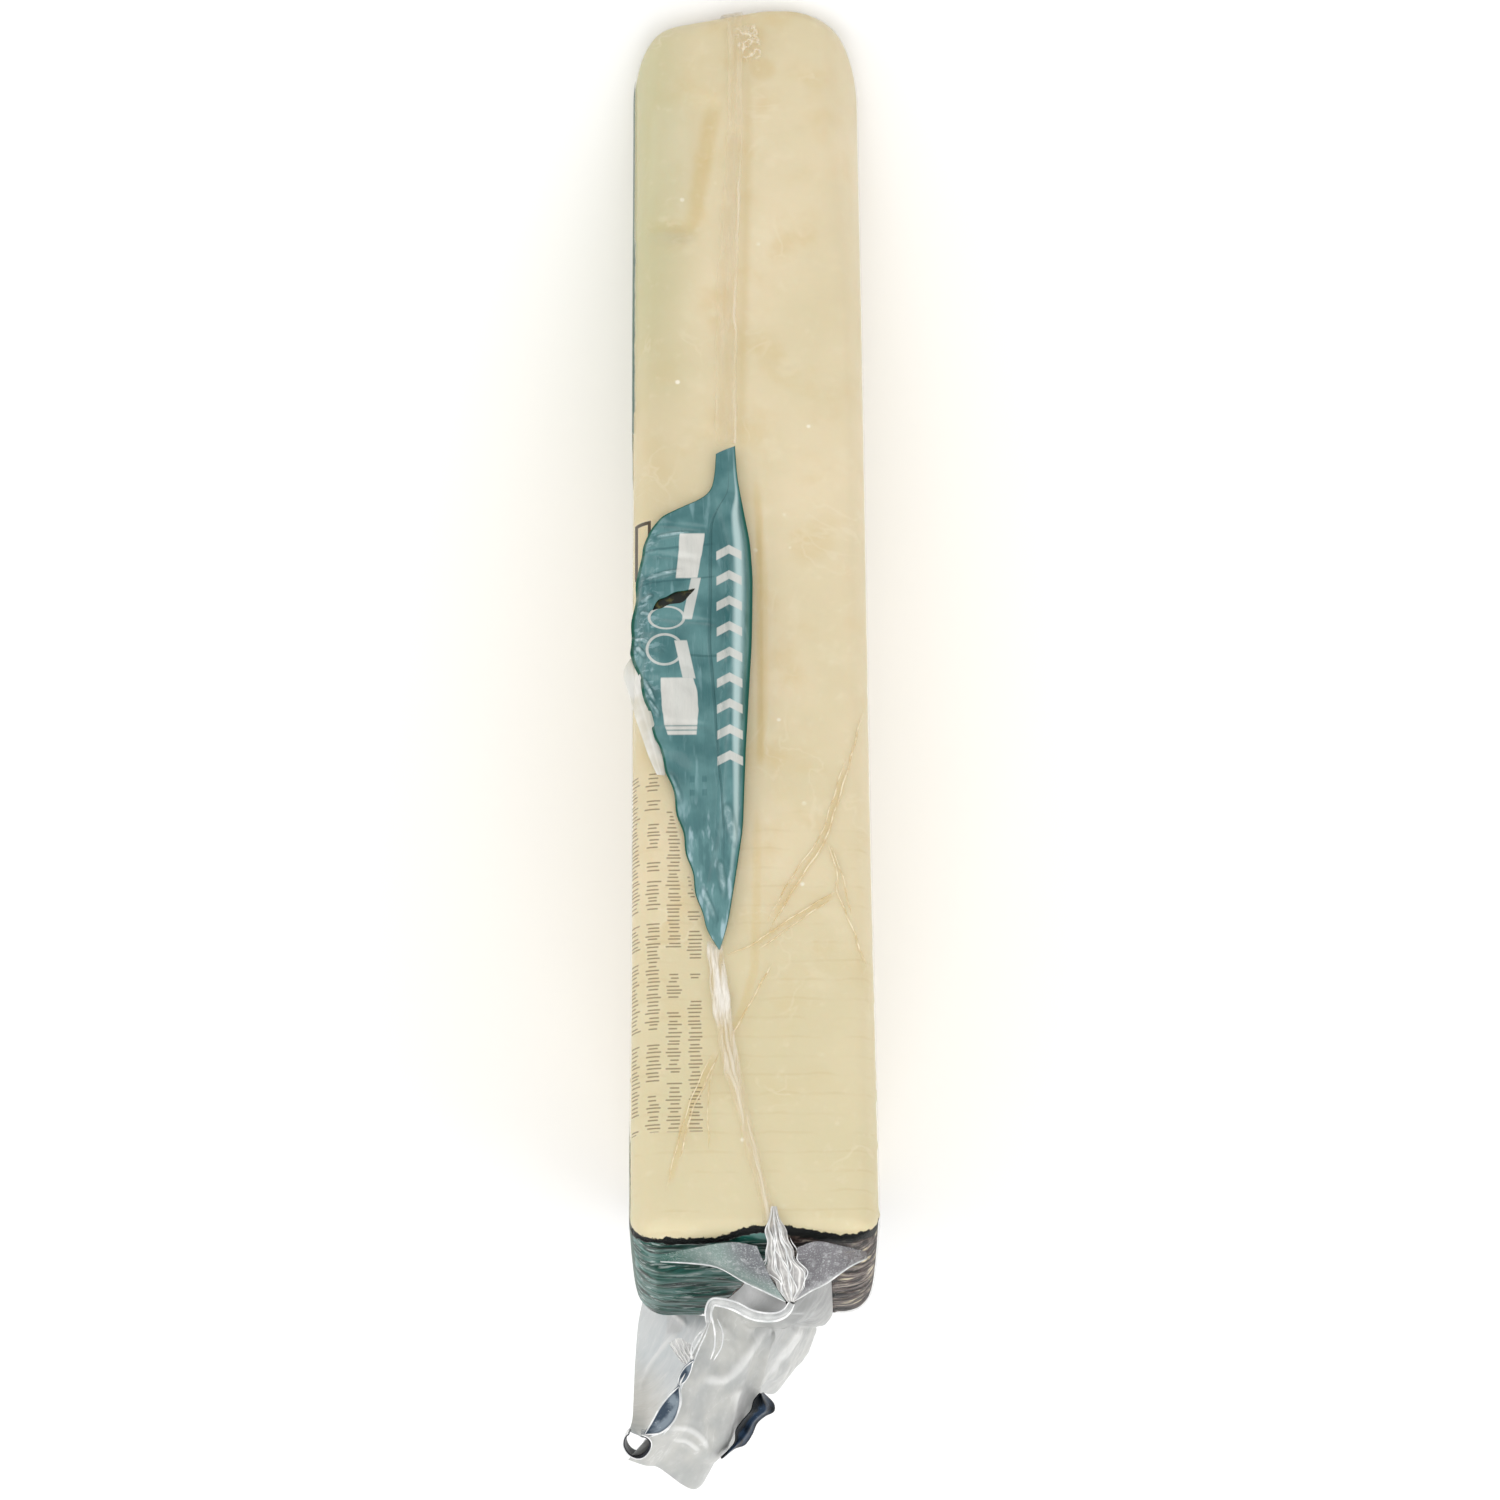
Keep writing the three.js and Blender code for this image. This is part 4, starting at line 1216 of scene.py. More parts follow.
def tabHeight(u, x, s):
    swell = np.sin(math.pi * np.clip(s * 1.05, 0.06, 0.96))
    intoRoll = np.clip((x - tabRight(u) + tab["rollWidth"]) / tab["rollWidth"], 0, 0.9)
    roll = tab["rollHeight"] * swell * np.sin(math.pi * intoRoll) ** 0.85
    flat = smoothStep(tabRight(u) - x, 2.6, 5)
    rumple = 0.2 * np.sin(u / 1.9 + x / 2.4) + 0.16 * np.sin(u / 0.9 - x / 1.3) * np.cos(x / 1.1)
    rumple = rumple + smoothStep(-x, 7.5, 10.5) * 0.2 * np.sin(2.1 * u + 2.6 * x) * np.sin(3.4 * x - u)
    folds = np.zeros_like(u)
    for foldU, depth in tab["folds"]:
        folds = folds - depth * np.exp(-((u - foldU - 0.12 * x) / 0.35) ** 2)
    nearEdge = np.exp(-((x - tabLeft(u)) / 0.8) ** 2)
    height = 0.55 + roll + (rumple + folds) * flat * swell + 0.3 * nearEdge * np.sin(u / 0.8) * swell
    return np.maximum(height, 0.36) + tabPleats(u, x)


def peelTab():
    sheet = newSheet("printed_tab", 290, 78)

    def place(s, w):
        u = blend(tab["start"] + 1.0 * (1 - w), tab["end"], s)
        ragged = 0.12 * np.sin(u / 0.7) * (1 - w) * smoothStep(s, 0.1, 0.2)
        x = blend(tabLeft(u) + ragged, tabRight(u), w)
        return onShown(u, x, np.maximum(shownHeight(u, x), -1.3) + tabHeight(u, x, s))

    s, w = shapeSheet(sheet, place)
    u = blend(tab["start"] + 1.0 * (1 - w), tab["end"], s)
    addValue(sheet, "across", w)
    addValue(sheet, "ridge", tabPleats(u, blend(tabLeft(u), tabRight(u), w)) / 0.3)
    faceUpward(sheet)
    applyModifier(sheet, "SOLIDIFY", thickness=tab["thickness"] * mm, offset=-1)
    cutSlit(sheet)
    smoothShade(sheet, 60)
    return sheet


def cutSlit(sheet):
    slit = tab["slit"]
    deselectAll()
    bpy.ops.mesh.primitive_cylinder_add(vertices=48, radius=1, depth=1)
    cutter = bpy.context.object
    raw = readPoints(cutter)
    turn = math.radians(slit["turn"])
    around = np.arctan2(raw[:, 1], raw[:, 0])
    # pointed at both ends, with lips that are a little uneven
    along = np.cos(around) * slit["length"] / 2
    across = np.sin(around) * np.abs(np.sin(around)) ** 0.6 * slit["width"]
    across = across * (1 + 0.18 * np.sin(along * 2.6)) + 0.12 * np.sin(along * 1.7)
    x = slit["x"] + along * math.cos(turn) - across * math.sin(turn)
    u = slit["u"] + along * math.sin(turn) + across * math.cos(turn)
    writePoints(cutter, onShown(u, x, raw[:, 2] * 8))
    mergeAndTurnOut(cutter, 0.01)
    applyModifier(sheet, "BOOLEAN", object=cutter, operation="DIFFERENCE", solver="EXACT")
    bpy.data.objects.remove(cutter, do_unlink=True)


# a dark sheet under the slit: the green underside of the print, darkened with painted shade
def tabUndersideAndShade():
    sheet = newSheet("tab_underside_and_shade", 110, 24)
    under = tab["undersideAndShade"]

    def place(s, w):
        u = blend(under["start"], under["end"], s)
        x = blend(tabLeft(u) + 1.3, tabRight(u) - 3.4, w)
        ripple = 0.03 * np.sin(u) * np.sin(2 * x)
        return onShown(u, x, np.maximum(shownHeight(u, x), -1.3) + 0.12 + ripple)

    shapeSheet(sheet, place)
    return asFilm(sheet, under["thickness"], offset=1)


milky = {
    "start": 82.2,
    "end": 95.8,
    "thickness": 0.07,
    "outer": [(82.2, -12.3), (83.2, -13.2), (84.6, -12.9), (86.6, -12.3), (89.1, -11.7), (91.6, -11.0),
              (94.1, -10.3), (96.1, -9.4)],
    "inner": [(81.6, -11.5), (82.4, -11.6), (83.8, -11.2), (86.6, -10.5), (89.1, -9.9), (91.7, -9.3),
              (93.9, -8.9), (95.8, -8.7)],
}


def milkyFlap():  # clear film that stands out past the tab's left edge
    outer, inner = [smoothThrough(milky[name]) for name in ("outer", "inner")]
    sheet = newSheet("tab_clear_flap", 110, 24)

    def place(s, w):
        u = blend(milky["start"], milky["end"], s)
        x = blend(outer(u), inner(u), w)
        ripple = 0.04 * np.sin(0.9 * u + 2 * w) * (1 - w)
        return onShown(u, x, np.maximum(shownHeight(u, x), -1.5) + 0.3 + 0.3 * (1 - w) + ripple)

    s, w = shapeSheet(sheet, place)
    addValue(sheet, "ridge", np.clip((1 - w) ** 6 + np.exp(-((w - 0.5) / 0.08) ** 2) * 0.4, 0, 1))
    return asFilm(sheet, milky["thickness"])


def clearFlapFinish():
    finish = Finish("film_flap", Roughness=0.25, IOR=filmIndex)
    ridge = finish.value("ridge")
    soft = finish.grain(finish.spot(), 3.5, 2)
    tone = finish.mix(soft.rise(0.38, 0.62), paint(226, 223, 211), paint(238, 237, 232))
    finish.drive(Base_Color=tone, Alpha=(0.56 + ridge * 0.3 + soft.rise(0.4, 0.7) * 0.12).held())
    finish.bump(soft, 0.1, 0.2)
    return finish.material


def ring(u, x, centreU, centreX, halfU, halfX):
    inside = ((u - centreU) / halfU) ** 2 + ((x - centreX) / halfX) ** 2
    return (inside - 1).size().rise(0.2, 0.12)


def tabFinish():
    finish = Finish("film_printed", IOR=filmIndex, Specular_IOR_Level=0.4, Coat_Weight=0.25,
                    Coat_Roughness=0.1)
    x, p, q = finish.places()
    u, h = finish.turned(p, q)
    across = finish.value("across")
    place = finish.joined(x, u, h)
    soft = finish.grain(place, 4, 3)
    streak = finish.grain(finish.joined(x * 2.5, u * 0.35, h), 1.6, 4)
    ground = finish.mix(soft.rise(0.35, 0.65), paint(62, 108, 110), paint(92, 135, 136))
    ground = finish.mix(streak.rise(0.56, 0.78) * 0.55, ground, paint(136, 172, 176))
    # towards the point: pale blue streaks of painted highlight between dark ones
    pointStreaks = finish.grain(finish.joined(x * 1.6, u * 0.42, h), 1.5, 3)
    ground = finish.mix(u.rise(97, 103) * pointStreaks.rise(0.51, 0.64) * 0.8, ground, paint(182, 208, 216))
    ground = finish.mix(u.rise(97, 103) * pointStreaks.rise(0.46, 0.36) * 0.6, ground, paint(44, 92, 96))
    # the print is laid out as it lies on the flat film under the folds
    flatU = u - (h - 0.9) * 0.466
    rolled = across.rise(0.93, 0.985)
    ground = finish.mix(rolled * 0.8, ground, paint(20, 92, 80))
    shine = (across - 0.885).size().rise(0.06, 0.01) * u.within(62, 106, 5)
    ground = finish.mix(shine * 0.85, ground, paint(184, 208, 207))
    glints = finish.grain(finish.joined(x, u * 1.6, h), 1.1, 4, 0.6).rise(0.54, 0.64)
    glints = glints * x.rise(-8.2, -10.4) * u.rise(92, 86)
    ground = finish.mix(glints * 0.35, ground, paint(176, 206, 212))
    ridge = finish.value("ridge")
    # painted shade on the flanks of the pleats and painted highlight on their crests
    ground = finish.mix(ridge.rise(0.0, 0.15) * ridge.rise(0.5, 0.25) * 0.4, ground, paint(34, 84, 86))
    broken = finish.grain(place, 0.8, 3, 0.6).rise(0.4, 0.62)
    ground = finish.mix(ridge.rise(0.3, 0.8) * (0.22 + broken * 0.45), ground, paint(192, 214, 217))
    ground = finish.mix(u.rise(90, 101) * 0.22, ground, paint(110, 150, 152))
    # a thin dark line of painted shade along a crease
    crease = (across - 0.62 - (u - 66) * 0.002).size().rise(0.02, 0.006) * u.within(63, 104, 4)
    ground = finish.mix(crease * 0.5, ground, paint(42, 88, 90))
    # dark lines of painted shade along two folds
    fold = (u - 69.4 + x * 0.12).size().rise(0.2, 0.06).most((u - 73.2 + x * 0.1).size().rise(0.16, 0.05))
    ground = finish.mix(fold * x.rise(-3.2, -4.2) * 0.5, ground, paint(38, 84, 88))
    edge = across.rise(0.036, 0.018).most(across.rise(0.972, 0.986))
    ground = finish.mix(edge, ground, paint(2, 82, 66))
    # pale pads, two thin rings and a column of chevrons
    warp = (soft - 0.5) * 0.7
    upper = (x + 6.15 + warp + (flatU - 71.4) * 0.12).size().rise(1.25, 1.15)
    upper = upper * flatU.within(68.8, 73.9, 0.1)
    band = flatU.within(73.9, 78.6, 0.1) * (x + 5.5 + (flatU - 73.9) * 0.2).size().rise(0.55, 0.45)
    lowerHalf = 1.85 - (flatU - 88) * (flatU - 88) * 0.028
    lower = (x + 7.2 - (flatU - 88.4) * 0.08 + warp).size() - lowerHalf
    lower = flatU.within(85.2, 91.6, 0.1) * lower.rise(0.05, -0.05)
    lead = flatU.within(81.0, 85.3, 0.1) * (x + 6.3 - (flatU - 85) * 0.2).size().rise(0.7, 0.6)
    cuffs = (flatU - 90.6).size().rise(0.12, 0.05).most((flatU - 91.1).size().rise(0.12, 0.05))
    rings = ring(flatU, x, 78.4, -8.55, 1.25, 1.8).most(ring(flatU, x, 82.0, -8.75, 1.7, 1.8))
    pale = upper.most(band * 0.85).most(lower * (1 - cuffs * 0.6)).most(lead * 0.9).most(rings * 0.75)
    step = (flatU - 69.2) / 2.9
    within = step - step.whole() - 0.5
    chevron = (within - (x + 2.1).size() * 0.2).size().rise(0.19, 0.15)
    column = (x + 2.1).size().rise(1.35, 1.25) * flatU.within(69.2, 95.3, 0.1)
    pale = pale.most(chevron * column * 0.9)
    stitches = (u * 9).sine().rise(0.2, 0.6) * (x + 5.2).size().rise(2.4, 2.2)
    stitches = stitches * (flatU - 82.6).size().rise(0.4, 0.3)
    ground = finish.mix(stitches * 0.5, ground, paint(36, 84, 84))
    stamp = (x * 5).sine().rise(0.1, 0.5) * (u * 4).sine().rise(-0.2, 0.3)
    stamp = stamp * x.within(-6.6, -4.4, 0.2) * flatU.within(96.2, 98.4, 0.2)
    ground = finish.mix(stamp * 0.45, ground, paint(44, 94, 98))
    white = finish.mix(soft, paint(200, 199, 192), paint(218, 216, 210))
    ground = finish.mix((pale * (0.82 + streak * 0.25)).held(), ground, white)
    finish.drive(Base_Color=ground, Roughness=0.22 + streak * 0.16)
    finish.bump(streak + soft * 0.5 + crease, 0.22, 0.5)
    return finish.material


# olive spots on near black: the print's underside with painted shade in the hollow under the tab
def undersideAndShadeFinish():
    finish = Finish("film_underside_and_shade", Roughness=0.45)
    spots = finish.grain(finish.spot(), 0.9, 3)
    finish.drive(Base_Color=finish.mix(spots.rise(0.5, 0.7), paint(18, 24, 16), paint(88, 84, 42)))
    return finish.material


printedTab = peelTab()
settle(printedTab, tabFinish(), "printed_film", "peel_tab")
undersideAndShade = tabUndersideAndShade()
settle(undersideAndShade, undersideAndShadeFinish(), "printed_film")
flap = milkyFlap()
settle(flap, clearFlapFinish(), "clear_film")
print("tab:", len(printedTab.data.polygons), "faces")


# The gathered neck, where the rim leaves the shown face
neck = {
    "left": [(40.15, 1.7, -2.8), (40.12, 1.45, -1.4), (40.0, 1.1, 0.4), (39.4, 1.2, 2.0),
             (38.7, 1.6, 3.4), (38.2, 2.4, 4.5), (38.0, 3.2, 5.2)],
    "right": [(40.15, 2.2, -2.8), (40.12, 2.6, -1.2), (40.0, 3.3, 0.5), (39.5, 4.3, 2.2),
              (38.9, 4.7, 3.5), (38.4, 4.5, 4.6), (38.0, 3.9, 5.3)],
    "arch": 0.6,
    "fold": 0.36,
    "thickness": 0.08,
    "threadRadius": 0.06,
    # fine threads: share across, and the first and last share along
    "threads": [(-0.12, 0.15, 0.7), (0.06, 0.0, 0.95), (0.2, 0.1, 1.0), (0.33, 0.0, 0.75),
                (0.47, 0.25, 1.0), (0.6, 0.05, 0.95), (0.74, 0.2, 1.0), (0.88, 0.0, 0.85),
                (1.08, 0.3, 0.85)],
}


def foldedLine(w, s, count, seed):  # pleats that wander, 0 to 1 on their crests
    wander = 0.22 * np.sin(5 * s + seed) + 0.12 * np.sin(11 * s + 2 * seed + 3 * w)
    return 1 - np.abs(np.sin(math.pi * (count * w + wander + seed)))


def neckSurface():
    left, right = curveAt(neck["left"]), curveAt(neck["right"])

    def middle(s, w):
        frayed = w + (w - 0.5) * (0.16 * np.sin(13 * s + 5 * (w > 0.5)) + 0.1 * np.sin(29 * s + 2))
        base = blend(left(s), right(s), frayed[..., None])
        rise = neck["arch"] * np.sin(math.pi * np.clip(w, 0.03, 0.97)) * smoothStep(s, 0.0, 0.25)
        pinch = 0.35 + 0.65 * np.sin(math.pi * np.clip(s * 0.9 + 0.08, 0, 1))
        folds = 0.65 * foldedLine(w, s, 3.4, 0.3) + 0.45 * foldedLine(w, s, 6.1, 1.9)
        out = rise * pinch + neck["fold"] * folds * pinch
        return base + np.array(offShown) * out[..., None]

    return middle


def gatheredNeck():
    middle = neckSurface()
    sheet = newSheet("gathered_neck", 90, 100)
    s, w = shapeSheet(sheet, lambda s, w: middle(s, w) * mm)
    crests = np.maximum(foldedLine(w, s, 3.4, 0.3) ** 3, 0.8 * foldedLine(w, s, 6.1, 1.9) ** 4)
    addValue(sheet, "ridge", crests)
    return asFilm(sheet, neck["thickness"])


def bead(name, points, radius, ends=0.35):  # a thin round seam along points in millimetres
    data = bpy.data.curves.new(name, "CURVE")
    data.dimensions = "3D"
    spline = data.splines.new("POLY")
    spline.points.add(len(points) - 1)
    for k, (target, place) in enumerate(zip(spline.points, points)):
        share = k / (len(points) - 1)
        target.co = (*(np.array(place) * mm), 1)
        target.radius = ends + (1 - ends) * min(1, 8 * share, 8 * (1 - share))
    data.bevel_depth = radius * mm
    data.bevel_resolution = 2
    data.use_fill_caps = True
    piece = bpy.data.objects.new(name, data)
    bpy.context.scene.collection.objects.link(piece)
    pickOnly(piece)
    bpy.ops.object.convert(target="MESH")
    piece = bpy.context.object
    mergeAndTurnOut(piece, 0.002)
    smoothShade(piece)
    return piece


def joinAll(name, parts):
    deselectAll()
    for part in parts:
        part.select_set(True)
    bpy.context.view_layer.objects.active = parts[0]
    bpy.ops.object.join()
    joined = bpy.context.object
    joined.name = name
    joined.data.name = name
    return joined


def neckThreads():  # fine bright filaments that wander over the gathers
    middle = neckSurface()
    parts = []
    for k, (w, first, last) in enumerate(neck["threads"]):
        s = np.linspace(max(first, 0.01), min(last, 0.98), 70)
        track = w + 0.12 * np.sin(6 * s + 2.3 * k) + 0.05 * np.sin(17 * s + k)
        places = middle(s, np.clip(track, -0.15, 1.15)) + [0, 0, 0.12]
        parts.append(bead("thread", places, neck["threadRadius"], 0.2))
    return joinAll("neck_threads", parts)


def pinchedRidges():
    parts = []
    for path, radius in pinches:
        coarse = np.array(path)
        steps = np.concatenate([[0], np.cumsum(np.hypot(*np.diff(coarse, axis=0).T))])
        along = np.linspace(0, steps[-1], 90)
        u = smoothThrough(list(zip(steps, coarse[:, 0])))(along)
        x = smoothThrough(list(zip(steps, coarse[:, 1])))(along) + 0.05 * np.sin(along * 1.9)
        places = onShown(u, x, shownHeight(u, x) + radius * 0.4 + 0.06)
        parts.append(bead("pinch", places / mm, radius, 0.15))
    return joinAll("film_pinches", parts)


def pinchFinish():
    finish = Finish("film_pinched", Roughness=0.3, IOR=filmIndex, Specular_IOR_Level=0.4)
    soft = finish.grain(finish.spot(), 1.4, 3)
    # pale film mixed with ochre, which is painted shade along the pinched ridge
    finish.drive(Base_Color=finish.mix(soft.rise(0.35, 0.65), paint(222, 198, 148), paint(244, 232, 202)),
                 Alpha=0.45 + soft.rise(0.35, 0.7) * 0.35)
    return finish.material


# The corner webs
cornerWebs = {
    "left": {
        "topEdge": [(38.9, -9.2, 1), (39.5, -6.2, 0.9), (40.1, -2.2, 0.8), (40.1, 0.2, 1.2)],
        "rim": [(38.2, -9.3, 1.1), (38.1, -6.4, 1.2), (38, -3.6, 1.6), (37.9, -0.9, 3.1),
                (38.1, 1.2, 4.3), (37.9, 3.0, 5.1)],
    },
    "right": {
        "topEdge": [(39.1, 11, 1), (39.7, 8.4, 0.9), (40.1, 6, 0.8), (40.1, 4.2, 1.4)],
        "rim": [(38.4, 11.1, 1.1), (38.1, 9.5, 1.6), (38, 7, 3.3), (38.1, 5.4, 4.2), (38.0, 3.9, 5.1)],
    },
    "beadRadius": 0.11,
    "thickness": 0.08,
}


def cornerWeb(side):
    edges = cornerWebs[side]
    top, rim = curveAt(edges["topEdge"]), curveAt(edges["rim"])
    sheet = newSheet("corner_film_" + side, 110, 34)

    def plain(s, w):
        return blend(top(s), rim(s), w[..., None])

    def place(s, w):
        ripple = 0.14 * np.sin(s * 16 + w * 3) * np.sin(math.pi * w) * smoothStep(s, 0.1, 0.4)
        sag = -0.35 * np.sin(math.pi * w) * smoothStep(s, 0.2, 0.7)
        return (plain(s, w) + facing(plain, s, w) * (ripple + sag)[:, None]) * mm

    s, w = shapeSheet(sheet, place)
    addValue(sheet, "along", s)
    addValue(sheet, "across", w)
    asFilm(sheet, cornerWebs["thickness"])
    line = rim(np.linspace(0, 1, 70)) + [0, 0, 0.05]
    return sheet, bead("corner_seam_" + side, line, cornerWebs["beadRadius"])


# The tail of the bag
# Its welded rim runs from the neck in a loop and out to the curl at the far left.
rimPath = [(38.0, 3.6, 5.2), (37.7, 3.1, 5.8), (37.6, 2.3, 6.2), (37.6, 1.1, 6.3), (37.7, -0.3, 6.1),
           (37.8, -2.0, 5.3), (37.8, -3.4, 4.9), (37.8, -4.2, 4.9), (37.8, -4.6, 5.8), (37.8, -4.6, 7.0),
           (37.8, -5.1, 8.3), (37.8, -5.7, 9.5), (37.8, -6.3, 10.9), (37.8, -7.0, 12.3),
           (37.7, -7.6, 13.6), (37.6, -7.9, 14.9), (37.6, -8.3, 16.3), (37.5, -9.2, 17.7),
           (37.4, -10.4, 18.2)]
backTail = {
    "name": "tail_film_back",
    "columns": 240,
    "rows": 150,
    "crumple": 0.36,
    "rootPace": 1.9,  # the root runs on late, and the loop of the rim soon loses its pull
    "release": 2.2,
    "root": [(38.5, 7.0, 0.4), (36.7, 7.4, 0.45), (31.4, 7.8, 0.5), (24, 8.0, 0.45), (20, 7.7, 0.45),
             (12, 7.6, 0.7), (5, 7, 1.0)],
    "start": [(38.5, 7.0, 0.4), (38.1, 6.0, 2.4), (37.9, 4.8, 4.4), *rimPath[1:], (37.3, -11.6, 19.4),
              (37.2, -12.5, 20.4)],
    "free": [(37.2, -12.5, 20.4), (36.4, -10.9, 20.4), (35.6, -9.8, 20.0), (35, -8.7, 20.4),
             (34.2, -7.3, 21.0), (33.6, -6.2, 21.1), (33, -5.3, 20.1), (32.4, -4.7, 18.4),
             (31.8, -3.6, 17.0), (31.2, -1.9, 15.5), (30.8, -2.0, 14.1), (30, -1.5, 12.2),
             (29, -0.8, 10.4), (27.5, 0.4, 9.1), (25.5, 1.9, 8.7), (23, 3.3, 6.9), (21.5, 4.2, 5.8),
             (20, 5.1, 4.9), (18.5, 4.9, 3.4), (17.5, 5.1, 1.9), (16.5, 6.0, 1.1), (14, 7.3, 0.9),
             (10, 7.9, 1.3), (5, 7.2, 1.5)],
    "end": [(5, 7, 1.0), (5, 7.1, 1.2), (5, 7.2, 1.5)],
}
frontTail = {
    "name": "tail_film_front",
    "columns": 200,
    "rows": 120,
    "crumple": 0.12,
    "rootPace": 1.0,
    "release": 1.0,
    "root": [(35.3, 1.4, 0.55), (34.8, -0.3, 0.5), (32.9, -1.5, 0.5), (30.7, -2.7, 0.45),
             (29.4, -3.5, 0.4), (26, -4.4, 0.35), (21, -5.5, 0.3), (17, -7.2, 0.3), (13, -9.6, 0.4),
             (8, -12.0, 0.7)],
    "start": [(35.3, 1.4, 0.55), (36.2, 2.3, 2.8), (37.0, 2.9, 4.3), (37.5, 3.3, 5.6)],
    "free": [(37.5, 3.3, 5.5), (37.4, 2.4, 6.0), (37.4, 1.2, 6.1), (37.5, -0.3, 5.9), (37.5, -2, 5.0),
             (37.5, -3.5, 4.6), (37.5, -4.4, 5.2), (37.5, -4.7, 7), (37.5, -5.2, 8.3), (37.5, -6.4, 10.9),
             (37.4, -7.7, 13.6), (37.3, -8.4, 16.2), (37.2, -9.3, 17.4), (37.1, -10.6, 17.9),
             (37.1, -11.6, 17.8), (36.9, -12.6, 17.2)],
    "end": [(8, -12.0, 0.7), (10, -12.8, 3.3), (13, -13.1, 6.3), (19, -13.0, 8.4), (25, -12.8, 10.8),
            (31, -12.7, 13.6), (36.9, -12.6, 17.2)],
}
tailThickness = 0.07
# Soft folds drawn across the films: places, width and height.
backFolds = [
    ([(34, 2.0, 4.8), (34, 0.6, 5.6), (34, -1.0, 7.5), (34, -2.8, 9.4), (35, -4.3, 10.4),
      (36, -5.7, 10.9)],
     0.6, 0.34),
    ([(36.5, -9.4, 16.7), (36, -7.6, 16.0), (35, -5.8, 16.1), (33.5, -4.6, 16.8)], 0.36, 0.24),
    ([(36.0, -8.6, 17.4), (35.4, -7.0, 17.1), (34.4, -5.4, 17.6)], 0.3, 0.16),
    ([(28, 4.6, 1.9), (28, 3.5, 4.3), (28, 2.1, 5.8), (28, 1.3, 7.4)], 0.8, 0.2),
    ([(37, -1.9, 7.3), (37, -3.3, 9.3), (36, -3.9, 10.8)], 0.7, -0.2),
    ([(36, -2.0, 12.6), (34, -1.6, 13.2), (32, -2.3, 15.0)], 0.9, 0.18),
]
frontFolds = [
    ([(30, -12.2, 13.0), (33, -10.6, 13.0), (35, -9.2, 12.9), (36.9, -7.8, 13.4)], 0.25, 0.2),
    ([(35, -9.5, 8.1), (36, -8.0, 9.2), (37, -6.5, 10.5)], 0.4, 0.2),
    ([(36.5, -9.6, 11.6), (36.8, -8.4, 12.4), (37, -7.1, 12.8)], 0.35, 0.2),
]


def seenFlat(points):  # places laid flat as they are seen from above and behind the thin end
    x = points[..., 0] / mm - originX
    p = originP - points[..., 1] / mm
    q = points[..., 2] / mm
    return viewTilt[1] * p + viewTilt[0] * q, x


def foldRise(points, folds):
    down, x = seenFlat(points)
    rise = np.zeros(len(points))
    mark = np.zeros(len(points))
    for path, width, height in folds:
        line = curveAt(path)(np.linspace(0, 1, 24)) * mm
        lineDown, lineX = seenFlat(line)
        away, share = awayFrom(list(zip(lineDown, lineX)), down, x)
        faded = smoothStep(share, 0, 0.2) * (1 - smoothStep(share, 0.8, 1)) * 0.8 + 0.2
        bell = np.exp(-(away / width) ** 2) * faded
        rise += bell * height
        mark = np.maximum(mark, bell * (height > 0))
    return rise, mark


def tailFilm(edges, folds):
    plain = spanned(edges)
    columns, rows, crumple = edges["columns"], edges["rows"], edges["crumple"]
    sheet = newSheet(edges["name"], columns, rows)
    s, w = shapeSheet(sheet, lambda s, w: plain(s, w) * mm)
    faceUpward(sheet)
    points = readPoints(sheet)
    towards = facing(plain, s, w)
    towards *= np.sign(towards @ np.array([0, *viewTilt]) + 1e-6)[:, None]
    edge = smoothStep(w, 0, 0.12) * (1 - smoothStep(w, 0.82, 1)) * (1 - smoothStep(s, 0.62, 0.85) * 0.75)
    rough = fineNoise(points, 4.2, 2.0 + columns, 3)
    tight = np.abs(fineNoise(points, 1.9, 5.0 + rows, 2))
    rise, mark = foldRise(points, folds)
    lift = rise + crumple * (rough * 0.5 - tight * 0.35) * edge
    points = points + towards * lift[:, None] * mm
    writePoints(sheet, points)
    addValue(sheet, "along", s)
    tightened = np.clip(0.12 - tight, 0, 1) * 1.4 * edge * crumple
    addValue(sheet, "ridge", np.clip(mark * 0.8 + tightened, 0, 1))
    applyModifier(sheet, "SOLIDIFY", thickness=tailThickness * mm, offset=0)
    smoothShade(sheet, 60)
    return sheet


seam = {
    "width": 0.85,
    "thickness": 0.07,
    "shares": 10,
    "beads": [(0.0, 0.13), (1.0, 0.11)],
    "branches": [
        ([(37.8, -4.2, 5.0), (38.1, -4.3, 6.4), (38.1, -4.0, 8.0), (38.0, -4.0, 9.6),
          (37.9, -4.4, 10.8)], 0.1),
        ([(38.0, -3.7, 6.8), (38.1, -3.2, 8.2), (38.1, -3.3, 9.6), (38.0, -4.1, 11.0)], 0.08),
        ([(37.8, -5.0, 7.6), (38.0, -5.8, 8.6), (38.1, -6.3, 9.9), (38.0, -6.2, 11.2)], 0.08),
        ([(37.9, -6.9, 12.2), (38.0, -7.4, 13.4), (37.9, -7.3, 15.0), (37.7, -7.9, 16.6),
          (37.5, -9.2, 18.2)],
         0.09),
    ],
}


